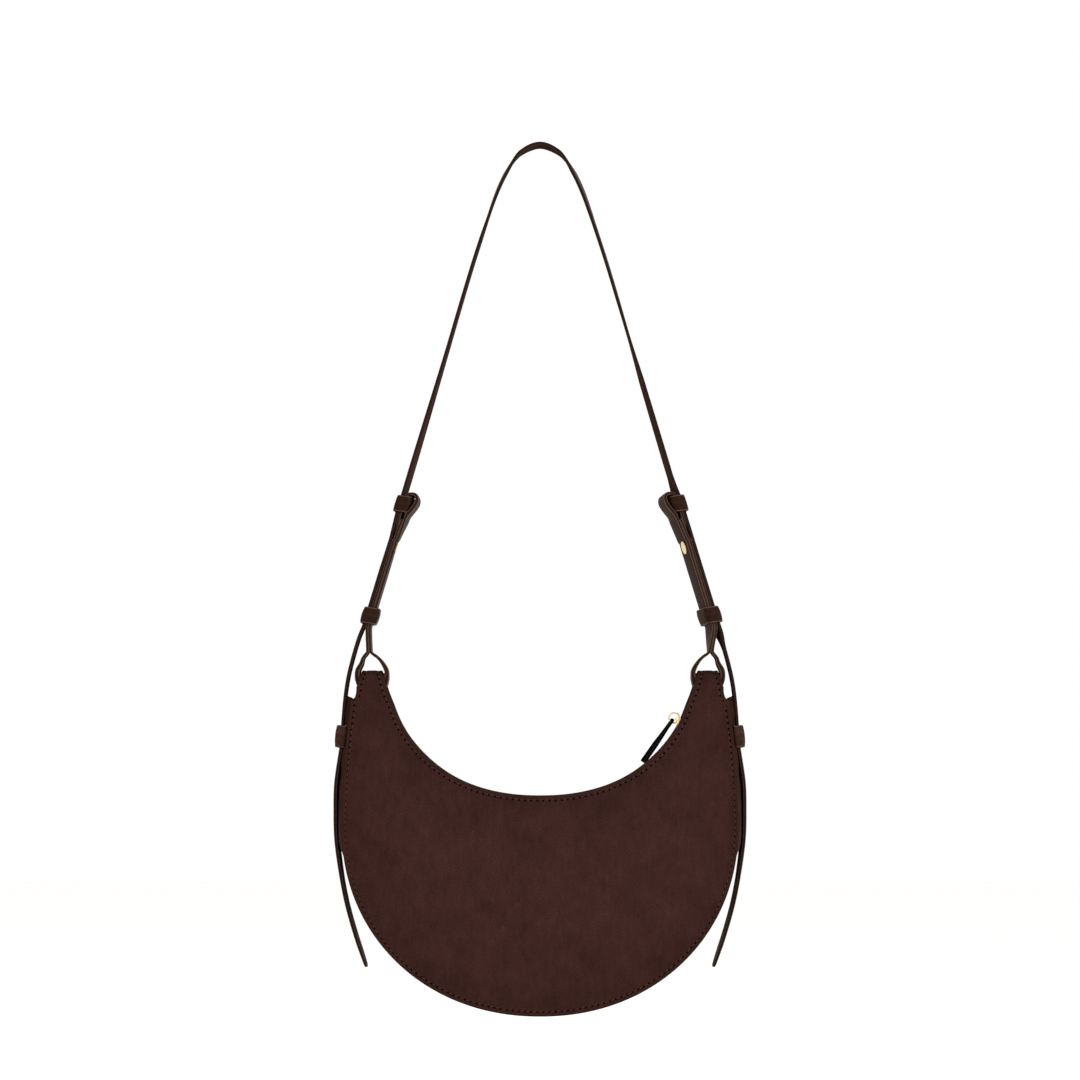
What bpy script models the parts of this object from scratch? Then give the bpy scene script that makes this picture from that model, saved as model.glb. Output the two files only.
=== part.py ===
"""A crescent crossbody bag of suede and leather, hung by its shoulder strap.

Lengths are in metres, +X is the wearer's right in the front view, -Y is the front and +Z is up.
The origin is on the underside of the strap's top, where a shoulder or a hook carries the bag.
"""
import math

import bmesh
import bpy
from mathutils import Matrix, Vector

for item in list(bpy.data.objects):
    bpy.data.objects.remove(item, do_unlink=True)

# Overall sizes
hang_drop = 0.337
bag_height = 0.221
bag_width = 0.253
bag_depth = 0.068
pinch_height = 0.157
touch_gap = 0.0003
overrun = 0.002

# Outline of the panels, heights above the bag's lowest point
widest_height = 0.1226
lower_fullness = 2.1
mouth_inset = 0.0093
mouth_low_height = 0.1407
mouth_rise = 0.010
mouth_fullness = 2.2
mouth_start_drop = 0.012
shoulder_drop = 0.0088
shoulder_round = 0.0018
shoulder_out = 0.00404
top_seam_gap = 0.0004

# Leather and cloth
panel_thick = 0.0014
gusset_thick = 0.0014
tunnel_thick = 0.0012
lining_thick = 0.0005
seam_flange = 0.006
shoulder_flange = 0.0032
shoulder_fan = 0.0002
lining_room = 0.0018
lining_edge_inset = 0.0040
lining_top_inset = 0.009
seam_room = 0.0002

# Straps
strap_width = 0.016
strap_thick = 0.0020
loop_thick = 0.0018
apex_flat = 0.005
run_end_out = 0.00534
run_end_rise = 0.03984
stack_lean = math.radians(17.0)
stack_length = 0.0925
left_twist = math.radians(3.0)
right_twist = math.radians(15.0)
twist_start = 0.100
twist_full = 0.008
twist_end = 0.017
strap_step = 0.006
leg_step = 0.0022
bend_step = 0.0012
knuckle_steps = 4

# Horns and the tunnels that the loops run through
horn_inset = 0.0187
horn_half_width = 0.0097
horn_tip_half_width = 0.0066
tunnel_half_length = 0.0094
bore_room = 0.00035
leg_gap = 0.0004
leg_bend = 0.002
leg_straight = 0.0118
split_height = 0.0231
split_out = 0.0019

# Loose keepers, measured along the strap from the top of its straight run
keeper_height = 0.0108
keeper_wall = 0.0015
keeper_room = 0.0004
keeper_round = 0.0015
upper_keeper_at = 0.0109
lower_keeper_at = 0.0855

# Folded end of the loop strap, and the stud that pins it
fold_reach = 0.0098
fold_top_at = 0.0029
seam_at = 0.0215
tongue_tip_at = 0.0335
tongue_tip_thick = 0.0010
tongue_point = 0.010
layer_gap = 0.0001
stud_at = 0.0400
stud_head_radius = 0.0043
stud_head_thick = 0.0011
stud_head_room = 0.0006
stud_flange_radius = 0.0031
stud_flange_thick = 0.0007
stud_post_radius = 0.0013
stud_room = 0.0003
screw_slot_width = 0.0008
screw_slot_depth = 0.0005
hole_pitch = 0.015
holes_below_stud = 2

# Side keepers sewn to the gusset, and the hanging strap ends
side_keeper_height = 0.0125
side_keeper_above_bottom = 0.1780
side_keeper_room = 0.0004
run_end_gap = 0.0003
cut_gap = 0.0003
tail_drop = 0.1406
tail_point = 0.013
tail_tip_width = 0.003

# Zip
zip_low_drop = 0.0044
zip_end_inset = 0.00355
zip_end_drop = 0.01349
zip_half_gap = 0.0050
tape_reach = 0.0082
tape_edge = 0.0029
tape_thick = 0.0006
cord_inner = 0.0012
cord_outer = 0.0023
cord_thick = 0.0012
tooth_pitch = 0.0040
tooth_length = 0.0014
tooth_reach = 0.0026
tooth_head = 0.0006
tooth_high = 0.0012
first_tooth_room = 0.0010
stop_length = 0.0030
stop_grip = 0.0009
slider_length = 0.0120
slider_width = 0.0088
slider_end_width = 0.0074
slider_plate = 0.0012
slider_base = 0.0009
slider_room = 0.0004
slider_lip = 0.0007
slider_step = 0.0001
slider_post_length = 0.0026
slider_post_width = 0.0018
bridge_width = 0.0068
bridge_bar = 0.0010
bridge_length = 0.0016
bridge_height = 0.0032
ring_radius = 0.0033
ring_wire = 0.0005
tab_length = 0.0340
tab_top_width = 0.0040
tab_width = 0.0090
tab_thick = 0.0020
tab_lean = math.radians(35.0)
tab_hole_radius = 0.0008
tab_hole_inset = 0.0024

# Counts
cap_steps = 6
crescent_steps = 20
panel_columns = 3
lining_columns = 2
tape_steps = 32
ring_segments = 20
wire_segments = 6
round_segments = 14

# Routes, each point as shares of the sizes that it follows
strap_route_shares = ((0.138, 0.0205), (0.215, 0.0555), (0.308, 0.1255), (0.404, 0.2305),
                      (0.520, 0.3705), (0.732, 0.6505), (1.0, 1.0))
lower_route_shares = ((0.0, 0.0), (0.259, 0.127), (0.643, 0.396), (0.800, 0.557),
                      (0.910, 0.748), (1.0, 1.0))
tail_route_shares = ((0.0, 0.0), (0.0235, 0.1565), (0.027, 0.2845), (0.0235, 0.4125),
                     (0.0043, 0.5576), (-0.0235, 0.704), (-0.064, 0.85), (-0.1138, 1.0))
fold_route_shares = ((0.81, 0.73), (0.94, 0.49), (1.0, 0.27), (0.965, 0.134), (0.78, 0.03),
                     (0.47, 0.0), (0.27, 0.06))

tip_shares = (1.0, 0.55, 0.25, 0.08, 0.0)
tongue_shares = (0.17, 0.5, 0.75, 0.92, 1.0)
knuckle_start_share = 0.35
knuckle_turns = (math.radians(65), math.radians(35))

# Finishes: linear colour, roughness, metallic
suede = ((0.046, 0.018, 0.018), 0.95, 0.0)
strap_leather = ((0.034, 0.018, 0.014), 0.55, 0.0)
dark_leather = ((0.006, 0.006, 0.004), 0.5, 0.0)
gusset_leather = ((0.040, 0.018, 0.016), 0.6, 0.0)
cloth = ((0.030, 0.017, 0.014), 0.9, 0.0)
tape_cloth = ((0.022, 0.011, 0.010), 0.9, 0.0)
gold = ((0.80, 0.57, 0.25), 0.22, 1.0)

# Sizes that follow from those above
bore_radius = math.hypot(strap_width / 2, loop_thick / 2) + bore_room
tunnel_radius = bore_radius + tunnel_thick
horn_radius = tunnel_radius + touch_gap + panel_thick
axis_height = bag_height - horn_radius
horn_centre = bag_width / 2 - horn_inset
mouth_half_width = horn_centre - mouth_inset
zip_low = mouth_low_height - zip_low_drop
zip_end_x = mouth_half_width - zip_end_inset
zip_rise = axis_height - zip_end_drop - zip_low
zip_radius = (zip_end_x**2 + zip_rise**2) / (2 * zip_rise)
zip_centre_height = zip_low + zip_radius
zip_start = math.atan2(zip_radius - zip_rise, zip_end_x)
shoulder_height = axis_height - shoulder_drop
shoulder_x = horn_centre + horn_half_width + shoulder_out
side_lean_height = (shoulder_height - shoulder_round - widest_height) / math.sqrt(
    1 - (2 * shoulder_x / bag_width) ** 2)
bottom_z = -hang_drop - bag_height
axis_z = bottom_z + axis_height
under_panel = panel_thick + touch_gap + seam_room
mouth_centre_height = bag_height + mouth_rise
mouth_drop = mouth_centre_height - mouth_low_height
zip_middle = -gusset_thick - touch_gap - tape_thick / 2
slider_at = zip_start + (stop_length + touch_gap + slider_length / 2) / zip_radius


def add_piece(name, form, finish):
    """Turn a bmesh into a named object with its own material."""
    mesh = bpy.data.meshes.new(name)
    form.to_mesh(mesh)
    form.free()
    colour, roughness, metallic = finish
    made = bpy.data.materials.new(name)
    made.use_nodes = True
    shader = made.node_tree.nodes["Principled BSDF"]
    shader.inputs["Base Color"].default_value = (*colour, 1.0)
    shader.inputs["Roughness"].default_value = roughness
    shader.inputs["Metallic"].default_value = metallic
    mesh.materials.append(made)
    piece = bpy.data.objects.new(name, mesh)
    bpy.context.scene.collection.objects.link(piece)
    return piece


def smooth(piece, angle=math.radians(35)):
    """Shade the piece smooth, with its edges over the angle left sharp."""
    piece.data.shade_smooth()
    piece.data.set_sharp_from_angle(angle=angle)
    return piece


def thicken(piece, thickness):
    """Give a skin its thickness on its inner side."""
    shell = piece.modifiers.new("Thickness", "SOLIDIFY")
    shell.thickness = thickness
    shell.offset = -1
    shell.use_even_offset = True
    shell.use_quality_normals = True
    return piece


def skin(rows, flip):
    """Quads between rows of points, every row the same length."""
    form = bmesh.new()
    lines = [[form.verts.new(point) for point in row] for row in rows]
    for near, far in zip(lines, lines[1:]):
        for i in range(len(near) - 1):
            corners = [near[i], far[i], far[i + 1], near[i + 1]]
            form.faces.new(reversed(corners) if flip else corners)
    return form


def bridge_loops(form, loops, closed):
    """Join closed loops of points one to the next, then cap the ends or join the last to the first."""
    rings = [[form.verts.new(point) for point in loop] for loop in loops]
    pairs = list(zip(rings, rings[1:]))
    if closed:
        pairs.append((rings[-1], rings[0]))
    made = []
    for near, far in pairs:
        for i in range(len(near)):
            j = (i + 1) % len(near)
            made.append(form.faces.new((near[i], near[j], far[j], far[i])))
    if not closed:
        made.append(form.faces.new(list(reversed(rings[0]))))
        made.append(form.faces.new(rings[-1]))
    bmesh.ops.recalc_face_normals(form, faces=made)
    return form


def tube(loops):
    """A solid through loops of points, capped at both ends."""
    return bridge_loops(bmesh.new(), loops, False)


def band(loops):
    """A ring-shaped solid whose last loop joins its first."""
    return bridge_loops(bmesh.new(), loops, True)


def smooth_line(points, step):
    """Points about a step apart along a smooth curve through the given ones."""
    points = [Vector(point) for point in points]
    lengths = [(b - a).length for a, b in zip(points, points[1:])]
    slopes = []
    for i in range(len(points)):
        a, b = max(i - 1, 0), min(i + 1, len(points) - 1)
        slopes.append((points[b] - points[a]) / sum(lengths[a:b]))
    line = [points[0]]
    for i, length in enumerate(lengths):
        count = max(1, round(length / step))
        for k in range(1, count + 1):
            u = k / count
            line.append(
                points[i] * (2 * u**3 - 3 * u**2 + 1)
                + slopes[i] * length * (u**3 - 2 * u**2 + u)
                + points[i + 1] * (3 * u**2 - 2 * u**3)
                + slopes[i + 1] * length * (u**3 - u**2)
            )
    return line


def arc(centre, radius, start, end, step):
    """Points about a step apart along an arc."""
    count = max(2, round(abs(end - start) * radius / step))
    return [
        centre + radius * Vector((math.cos(a), math.sin(a)))
        for a in (start + (end - start) * k / count for k in range(count + 1))
    ]


def cut_away(piece, cutter_form):
    """Cut a closed form out of a piece."""
    cutter = add_piece(piece.name + "_cutter", cutter_form, gold)
    cutter.hide_render = True
    cutter.display_type = "WIRE"
    cut = piece.modifiers.new("Cut", "BOOLEAN")
    cut.operation = "DIFFERENCE"
    cut.object = cutter
    return piece


# Panel outline


def half_depth(height):
    """Distance of the panel's outer face from the middle plane at a height above the bag's bottom."""
    if height > axis_height:
        rise = min(height - axis_height, horn_radius)
        return max(math.sqrt(horn_radius**2 - rise**2), top_seam_gap)
    share = min((axis_height - height) / pinch_height, 1)
    return horn_radius + (bag_depth / 2 - horn_radius) * share**2 * (3 - 2 * share)


def mouth_point(share):
    """A point on the mouth's edge, from below a horn to the middle."""
    low = (mouth_rise + horn_radius + mouth_start_drop) / mouth_drop
    first = math.asin(low ** (mouth_fullness / 2))
    turn = first + (math.pi / 2 - first) * share
    x = mouth_half_width * max(math.cos(turn), 0) ** (2 / mouth_fullness)
    return x, mouth_centre_height - mouth_drop * math.sin(turn) ** (2 / mouth_fullness)


def rim_x(height):
    """Half width of the panel's outer edge at a height."""
    if height > widest_height:
        return bag_width / 2 * math.sqrt(1 - ((height - widest_height) / side_lean_height) ** 2)
    down = (widest_height - height) / widest_height
    return bag_width / 2 * (1 - down**lower_fullness) ** (1 / lower_fullness)


rim_side_share = 0.30


def rim_point(share):
    """A point on the outer edge, from the shoulder down to the bag's lowest point."""
    if share < rim_side_share:
        top = shoulder_height - shoulder_round
        height = top + (widest_height - top) * share / rim_side_share
        return rim_x(height), height
    turn = math.pi / 2 * (share - rim_side_share) / (1 - rim_side_share)
    x = bag_width / 2 * max(math.cos(turn), 0) ** (2 / lower_fullness)
    return x, widest_height * (1 - math.sin(turn) ** (2 / lower_fullness))


def shoulder_points():
    """The rounded shoulder of the outer edge, from beside the horn outwards."""
    x = rim_x(shoulder_height - shoulder_round)
    return [
        (horn_centre + horn_half_width, shoulder_height),
        (x - shoulder_round, shoulder_height),
        (x - shoulder_round * (1 - math.sin(math.pi / 4)),
         shoulder_height - shoulder_round * (1 - math.cos(math.pi / 4))),
    ]


def crescent_rows():
    """Lines across half a panel, each from the mouth's edge to the outer edge, horn to middle."""
    rows = []
    top = math.acos(top_seam_gap / horn_radius)
    for k in range(cap_steps + 1):
        rise = math.sin(top * (1 - k / cap_steps))
        half = horn_half_width - (horn_half_width - horn_tip_half_width) * rise**2
        height = axis_height + horn_radius * rise
        rows.append(((horn_centre - half, height), (horn_centre + half, height)))
    low = axis_height - bore_radius + bore_room
    rows.append(((horn_centre - horn_half_width, low), (horn_centre + horn_half_width, low)))
    first = mouth_point(0)
    step_in = horn_centre - horn_half_width - first[0]
    for k, point in enumerate(shoulder_points()[1:], 1):
        share = k / 3
        rows.append(((first[0] + step_in * (1 - share), low + (first[1] - low) * share), point))
    for k in range(crescent_steps + 1):
        share = k / crescent_steps
        rows.append((mouth_point(share), rim_point(share)))
    return rows


def point_on_front(x, height, inset=0.0):
    """The place on the front panel's face, or a distance inside it."""
    return Vector((x, -max(half_depth(height) - inset, 0), bottom_z + height))


def both_halves(half):
    """Rows from the right horn to the middle, then on to the left horn."""
    mirrored = [[Vector((-p.x, p.y, p.z)) for p in row] for row in reversed(half[:-1])]
    return half + mirrored


def to_back(rows):
    """The same rows on the back of the bag."""
    return [[Vector((p.x, -p.y, p.z)) for p in row] for row in rows]


def step_along(inner, outer, distance):
    """A point at a distance from the first of two points towards the second."""
    size = math.hypot(outer[0] - inner[0], outer[1] - inner[1])
    share = distance / size
    return inner[0] + (outer[0] - inner[0]) * share, inner[1] + (outer[1] - inner[1]) * share


def between(a, b, share):
    """A point at a share of the way between two points."""
    return a[0] + (b[0] - a[0]) * share, a[1] + (b[1] - a[1]) * share


def panel_rows():
    """Points over the whole front panel, with a column along the edge of each seam's flange."""
    half = []
    for inner, outer in crescent_rows():
        near, far = step_along(inner, outer, seam_flange), step_along(outer, inner, seam_flange)
        middle = [between(near, far, k / panel_columns) for k in range(panel_columns + 1)]
        half.append([point_on_front(*point) for point in (inner, *middle, outer)])
    return both_halves(half)


def build_panels():
    """Front and back panels, each folded over the horns' tunnels to meet at the top."""
    rows = panel_rows()
    thicken(smooth(add_piece("front_panel", skin(rows, False), suede)), panel_thick)
    thicken(smooth(add_piece("back_panel", skin(to_back(rows), True), suede)), panel_thick)


def gusset_pairs():
    """Each flange tip of the gusset with its corner, from beside the horn to the bag's lowest point."""
    corners = shoulder_points() + [rim_point(0)]
    x, height = corners[0]
    pairs = [((x + k * shoulder_fan, height - shoulder_flange - k * shoulder_fan), corner)
             for k, corner in enumerate(corners)]
    for k in range(1, crescent_steps + 1):
        inner, outer = mouth_point(k / crescent_steps), rim_point(k / crescent_steps)
        pairs.append((step_along(outer, inner, seam_flange), outer))
    return pairs


def build_outer_gusset():
    """The side and bottom wall, with its edges turned in under both panels."""
    half = []
    for tip, corner in gusset_pairs():
        front_tip = point_on_front(*tip, under_panel)
        front = point_on_front(*corner, under_panel)
        row = [front_tip, front, Vector((front.x, 0, front.z))]
        row += [Vector((p.x, -p.y, p.z)) for p in (front, front_tip)]
        half.append(row)
    thicken(smooth(add_piece("outer_gusset", skin(both_halves(half), False), gusset_leather)), gusset_thick)


def zip_point(turn, rise, y):
    """A point by its angle round the zip, its height over the strips' edges and its depth."""
    radius = zip_radius - rise
    return Vector((radius * math.cos(turn), y, bottom_z + zip_centre_height - radius * math.sin(turn)))


def build_zip_strips():
    """The two leather strips between the mouth's edges and the zip."""
    half = []
    for k in range(crescent_steps + 1):
        inner, outer = mouth_point(k / crescent_steps), rim_point(k / crescent_steps)
        tip = step_along(inner, outer, seam_flange)
        turn = math.atan2(zip_centre_height - inner[1], inner[0])
        row = [point_on_front(*tip, under_panel), point_on_front(*inner, under_panel)]
        half.append(row + [zip_point(turn, 0, -zip_half_gap)])
    rows = both_halves(half)
    front = add_piece("zip_strip_front", skin(rows, True), gusset_leather)
    back = add_piece("zip_strip_back", skin(to_back(rows), False), gusset_leather)
    for strip in (front, back):
        thicken(smooth(strip), gusset_thick)


def build_lining():
    """The cloth bag inside, open at the top below the zip."""
    deep = under_panel + gusset_thick + lining_room
    half = []
    for k in range(0, crescent_steps + 1, 2):
        inner, outer = mouth_point(k / crescent_steps), rim_point(k / crescent_steps)
        near = step_along(inner, outer, lining_top_inset)
        far = step_along(outer, inner, lining_edge_inset)
        row = [point_on_front(*between(near, far, i / lining_columns), deep) for i in range(lining_columns + 1)]
        half.append(row + [Vector((p.x, -p.y, p.z)) for p in reversed(row)])
    thicken(smooth(add_piece("lining", skin(both_halves(half), False), cloth)), lining_thick)


# Zip


def build_tapes():
    """The two cloth tapes under the strips' edges."""
    top = -gusset_thick - touch_gap
    for name, side in (("zip_tape_front", -1), ("zip_tape_back", 1)):
        loops = []
        for k in range(tape_steps + 1):
            turn = zip_start + (math.pi - 2 * zip_start) * k / tape_steps
            loops.append([
                zip_point(turn, rise, side * y)
                for rise, y in ((top, tape_reach), (top, tape_edge),
                                (top - tape_thick, tape_edge), (top - tape_thick, tape_reach))
            ])
        add_piece(name, tube(loops), tape_cloth)


def build_teeth():
    """Teeth clamped on the corded edge of each tape, the two rows half a pitch apart so that they mesh."""
    pitch_turn = tooth_pitch / zip_radius
    half_turn = tooth_length / 2 / zip_radius
    first = zip_start + (stop_length + slider_post_length + first_tooth_room) / zip_radius + half_turn
    last = math.pi - zip_start - (stop_length + touch_gap) / zip_radius - half_turn
    count = int((last - first) / pitch_turn - 0.5) + 1
    high, cord = tooth_high, cord_thick / 2
    tooth = ((tooth_reach, -high), (tooth_reach, high), (-tooth_head, high / 2), (-tooth_head, -high / 2))
    bead = ((cord_outer, -cord), (cord_outer, cord), (cord_inner, cord / 2), (cord_inner, -cord / 2))
    for name, side in (("zip_teeth_front", -1), ("zip_teeth_back", 1)):
        stations = []
        for k in range(count):
            turn = first + (k + (0.5 if side > 0 else 0)) * pitch_turn
            stations += [(turn - half_turn, bead), (turn - half_turn, tooth),
                         (turn + half_turn, tooth), (turn + half_turn, bead)]
        loops = [[zip_point(turn, zip_middle + rise, side * y) for y, rise in outline]
                 for turn, outline in stations[1:-1]]
        add_piece(name, tube(loops), gold)


def build_stops():
    """Metal stops clamped on the tapes: one on each at the end that closes, one across both at the other."""
    slot, high = tape_thick / 2 + touch_gap, tooth_high
    inner, web, reach = tooth_head, tape_edge - touch_gap, tape_edge + stop_grip
    turn = stop_length / zip_radius
    for name, side in (("zip_top_stop_front", -1), ("zip_top_stop_back", 1)):
        outline = ((reach, slot), (reach, high), (inner, high), (inner, -high),
                   (reach, -high), (reach, -slot), (web, -slot), (web, slot))
        loops = [[zip_point(zip_start + at, zip_middle + rise, side * y) for y, rise in outline]
                 for at in (0, turn)]
        add_piece(name, tube(loops), gold)
    half = ((reach, slot), (reach, high), (-reach, high), (-reach, slot), (-web, slot), (-web, -slot))
    outline = half + tuple((-y, -rise) for y, rise in half)
    loops = [[zip_point(math.pi - zip_start - at, zip_middle + rise, y) for y, rise in outline]
             for at in (turn, 0)]
    add_piece("zip_bottom_stop", tube(loops), gold)


def slider_frame():
    """The slider's own axes: X along the zip towards the closed end, Z out of the mouth."""
    out = Vector((-math.cos(slider_at), 0, math.sin(slider_at)))
    along = Vector((math.sin(slider_at), 0, math.cos(slider_at)))
    frame = Matrix((along, along.cross(out) * -1, out)).transposed().to_4x4()
    frame.translation = zip_point(slider_at, 0, 0)
    return frame


def slab(outline, low, high):
    """A plate of an outline in X and Y, between two heights."""
    return tube([[Vector((x, y, z)) for x, y in outline] for z in (low, high)])


def box_outline(half_length, low, high):
    """A rectangle in X and Y."""
    return ((-half_length, low), (half_length, low), (half_length, high), (-half_length, high))


def slider_outline(width):
    """A slider plate seen from above: wide shoulders at the closed end, a narrower tail."""
    tail, nose = -slider_length / 2, slider_length / 2
    half, narrow = width / 2, slider_end_width / 2
    return ((tail, -narrow), (tail + slider_length / 4, -narrow), (nose - slider_length / 4, -half),
            (nose - slider_length / 12, -half), (nose, -narrow), (nose, narrow),
            (nose - slider_length / 12, half), (nose - slider_length / 4, half),
            (tail + slider_length / 4, narrow), (tail, narrow))


def slider_parts(top, base):
    """The closed forms that are joined to the slider's top plate."""
    nose = slider_length / 2
    post_half = slider_post_width / 2
    post = ((nose - slider_post_length, 0), (nose - slider_post_length / 2, -post_half),
            (nose - touch_gap, 0), (nose - slider_post_length / 2, post_half))
    parts = [slab(slider_outline(slider_width), base - slider_base, base),
             slab(post, base - slider_base / 2, top + slider_plate / 2)]
    lip_room = tape_thick / 2 + slider_room
    wide, narrow = slider_width / 2 - slider_step, slider_end_width / 2 - slider_step
    reach = slider_length / 4
    for side in (-1, 1):
        lip = ((-reach, side * narrow), (reach, side * wide),
               (reach, side * (wide - slider_lip)), (-reach, side * (narrow - slider_lip)))
        parts.append(slab(lip, zip_middle + lip_room, top + slider_plate / 2))
        parts.append(slab(lip, base - slider_base / 2, zip_middle - lip_room))
    lift = top + slider_plate
    half = bridge_width / 2
    for low, high in ((-half, bridge_bar - half), (half - bridge_bar, half)):
        foot = box_outline(bridge_length / 2 - slider_step, low, high)
        parts.append(slab(foot, lift - slider_plate / 2, lift + bridge_height - bridge_bar / 2))
    beam = box_outline(bridge_length / 2, -half - slider_step, half + slider_step)
    parts.append(slab(beam, lift + bridge_height - bridge_bar, lift + bridge_height))
    return parts


def build_slider():
    """The slider: two plates joined by a post at the nose, lips along its sides and a bridge on top."""
    top = zip_middle + tooth_high + slider_room
    base = zip_middle - tooth_high - slider_room
    frame = slider_frame()
    body = add_piece("zip_slider", slab(slider_outline(slider_width), top, top + slider_plate), gold)
    body.matrix_world = frame
    for k, form in enumerate(slider_parts(top, base)):
        part = add_piece(f"slider_part_{k}", form, gold)
        part.hide_render = True
        part.display_type = "WIRE"
        part.parent = body
        join = body.modifiers.new("Join", "BOOLEAN")
        join.operation = "UNION"
        join.object = part
    return frame, top + slider_plate + bridge_height - bridge_bar / 2


def build_pull(frame, bar_height):
    """The ring on the slider's bridge and the leather tab that hangs from it."""
    bar = frame @ Vector((0, 0, bar_height))
    out = (frame.to_3x3() @ Vector((0, 0, 1))).normalized()
    reach = ring_radius - ring_wire - math.hypot(bridge_bar, bridge_length) / 2 - touch_gap
    centre = bar + out * reach
    form = bmesh.new()
    loops = []
    for k in range(ring_segments):
        a = 2 * math.pi * k / ring_segments
        way = Vector((math.cos(a), 0, math.sin(a)))
        loops.append([
            centre - bar + way * (ring_radius + ring_wire * math.cos(b)) + Vector((0, ring_wire * math.sin(b), 0))
            for b in (2 * math.pi * j / wire_segments for j in range(wire_segments))
        ])
    ring = smooth(add_piece("zip_pull_ring", bridge_loops(form, loops, True), gold))
    ring.location = bar
    down = Vector((-math.sin(tab_lean), 0, -math.cos(tab_lean)))
    build_tab(centre, down)
    return bar, centre


def build_tab(centre, down):
    """The pull tab: a narrow end with a hole for the ring, widening to a squared end."""
    side = Vector((down.z, 0, -down.x))
    start = ring_radius - tab_hole_inset
    stations = ((start, tab_top_width / 2), (start + tab_length / 5, tab_top_width / 2),
                (start + tab_length * 3 / 5, tab_width / 2), (start + tab_length, tab_width / 2))
    loops = []
    for along, half in stations:
        loops.append([
            down * along + side * off + Vector((0, y, 0))
            for off, y in ((-tab_thick / 2, -half), (tab_thick / 2, -half), (tab_thick / 2, half), (-tab_thick / 2, half))
        ])
    tab = add_piece("zip_pull_tab", tube(loops), dark_leather)
    tab.location = centre
    hole = []
    room = tab_hole_radius
    for off in (-tab_thick / 2 - overrun, tab_thick / 2 + overrun):
        hole.append([
            centre + side * off + down * (ring_radius + room * math.cos(a)) + Vector((0, room * math.sin(a), 0))
            for a in (2 * math.pi * k / (2 * wire_segments) for k in range(2 * wire_segments))
        ])
    cut_away(tab, tube(hole))


# Straps

stack_way = Vector((math.sin(stack_lean), -math.cos(stack_lean)))
stack_out = Vector((math.cos(stack_lean), math.sin(stack_lean)))
stack_top = Vector((horn_centre + run_end_out, axis_z + run_end_rise)) - stack_way * stack_length


def stack_spot(along, off):
    """A place beside the strap's straight run: down along it, and outwards from its middle."""
    return stack_top + stack_way * along + stack_out * off


def ease(share):
    """A share from 0 to 1 with a soft start and end."""
    share = min(max(share, 0), 1)
    return share**2 * (3 - 2 * share)


def place(side, spot, across):
    """Put a place in the strap's plane, and a distance across its width, into space.

    Between the keepers the whole bundle is turned a little about its run, so its inner face shows.
    """
    along = (spot - stack_top).dot(stack_way)
    off = (spot - stack_top).dot(stack_out)
    twist = right_twist if side > 0 else left_twist
    twist *= ease((along + twist_full + twist_start) / twist_start)
    twist *= ease((stack_length + twist_end - along) / twist_end)
    turned = off * math.cos(twist) - across * math.sin(twist)
    y = off * math.sin(twist) + across * math.cos(twist)
    flat = stack_spot(along, turned)
    return Vector((side * flat.x, y, flat.y))


def ribbon_loops(side, line, sizes, first_way=None):
    """Loops of four corners along a strap's line, from its thickness and half width at each point."""
    loops = []
    for k, (spot, (thick, half)) in enumerate(zip(line, sizes)):
        way = line[min(k + 1, len(line) - 1)] - line[max(k - 1, 0)]
        if k == 0 and first_way:
            way = first_way
        out = Vector((-way.y, way.x)).normalized() * thick / 2
        corners = ((spot + out, -half), (spot + out, half), (spot - out, half), (spot - out, -half))
        loops.append([place(side, flat, across) for flat, across in corners])
    return loops


def offset_line(line, distance):
    """A line moved sideways by a distance, to the right of its way."""
    moved = []
    for k, spot in enumerate(line):
        way = line[min(k + 1, len(line) - 1)] - line[max(k - 1, 0)]
        moved.append(spot + Vector((way.y, -way.x)).normalized() * distance)
    return moved


def pointed_half(rest, point):
    """Half width of a strap's pointed end, at a distance from its tip."""
    share = min(max(rest / point, 0), 1)
    return (tail_tip_width + (strap_width - tail_tip_width) * math.sqrt(share)) / 2


def upper_route():
    """The main strap's line from its top down to the straight run."""
    start = Vector((apex_flat / 2, strap_thick / 2))
    drop = Vector((0, strap_thick / 2))
    points = [start] + [drop + Vector((x * stack_top.x, z * (stack_top.y - strap_thick / 2)))
                        for x, z in strap_route_shares]
    return smooth_line(points, strap_step)


def side_keeper_frame():
    """Where a side keeper sits: a place on the gusset, the way down along it and the way out."""
    height = side_keeper_above_bottom
    low, high = height - side_keeper_height / 2, height + side_keeper_height / 2
    way = Vector((rim_x(low) - rim_x(high), -side_keeper_height)).normalized()
    spot = Vector((rim_x(height), bottom_z + height))
    return spot, way, Vector((-way.y, way.x))


def lower_route():
    """The main strap's line from its straight run down into the side keeper."""
    spot, way, out = side_keeper_frame()
    end = spot + out * (touch_gap + keeper_wall + side_keeper_room + strap_thick / 2)
    start = stack_spot(stack_length, 0)
    points = [Vector((start.x + x * (end.x - start.x), start.y + z * (end.y - start.y)))
              for x, z in lower_route_shares]
    return smooth_line(points, strap_step / 2), end, way


def line_part(line, low, high):
    """The points of a line between two heights, with its cut ends added."""
    kept = []
    for a, b in zip(line, line[1:]):
        for level in (high, low):
            if a.y > level >= b.y:
                kept.append(a.lerp(b, (a.y - level) / (a.y - b.y)))
        if low < b.y < high:
            kept.append(b)
    if line[0].y <= high:
        kept.insert(0, line[0])
    return kept


def drill(form_spots, radius, reach):
    """Round cutters across a strap at places on its straight run."""
    form = bmesh.new()
    for side, along in form_spots:
        loops = []
        for off in reach:
            loops.append([
                place(side, stack_spot(along + radius * math.cos(a), off), radius * math.sin(a))
                for a in (2 * math.pi * k / (2 * wire_segments) for k in range(2 * wire_segments))
            ])
        bridge_loops(form, loops, False)
    return form


def hole_places():
    """Where the main strap's adjusting holes are, the stud's own hole with them."""
    return [stud_at + k * hole_pitch for k in range(holes_below_stud + 1)]


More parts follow.
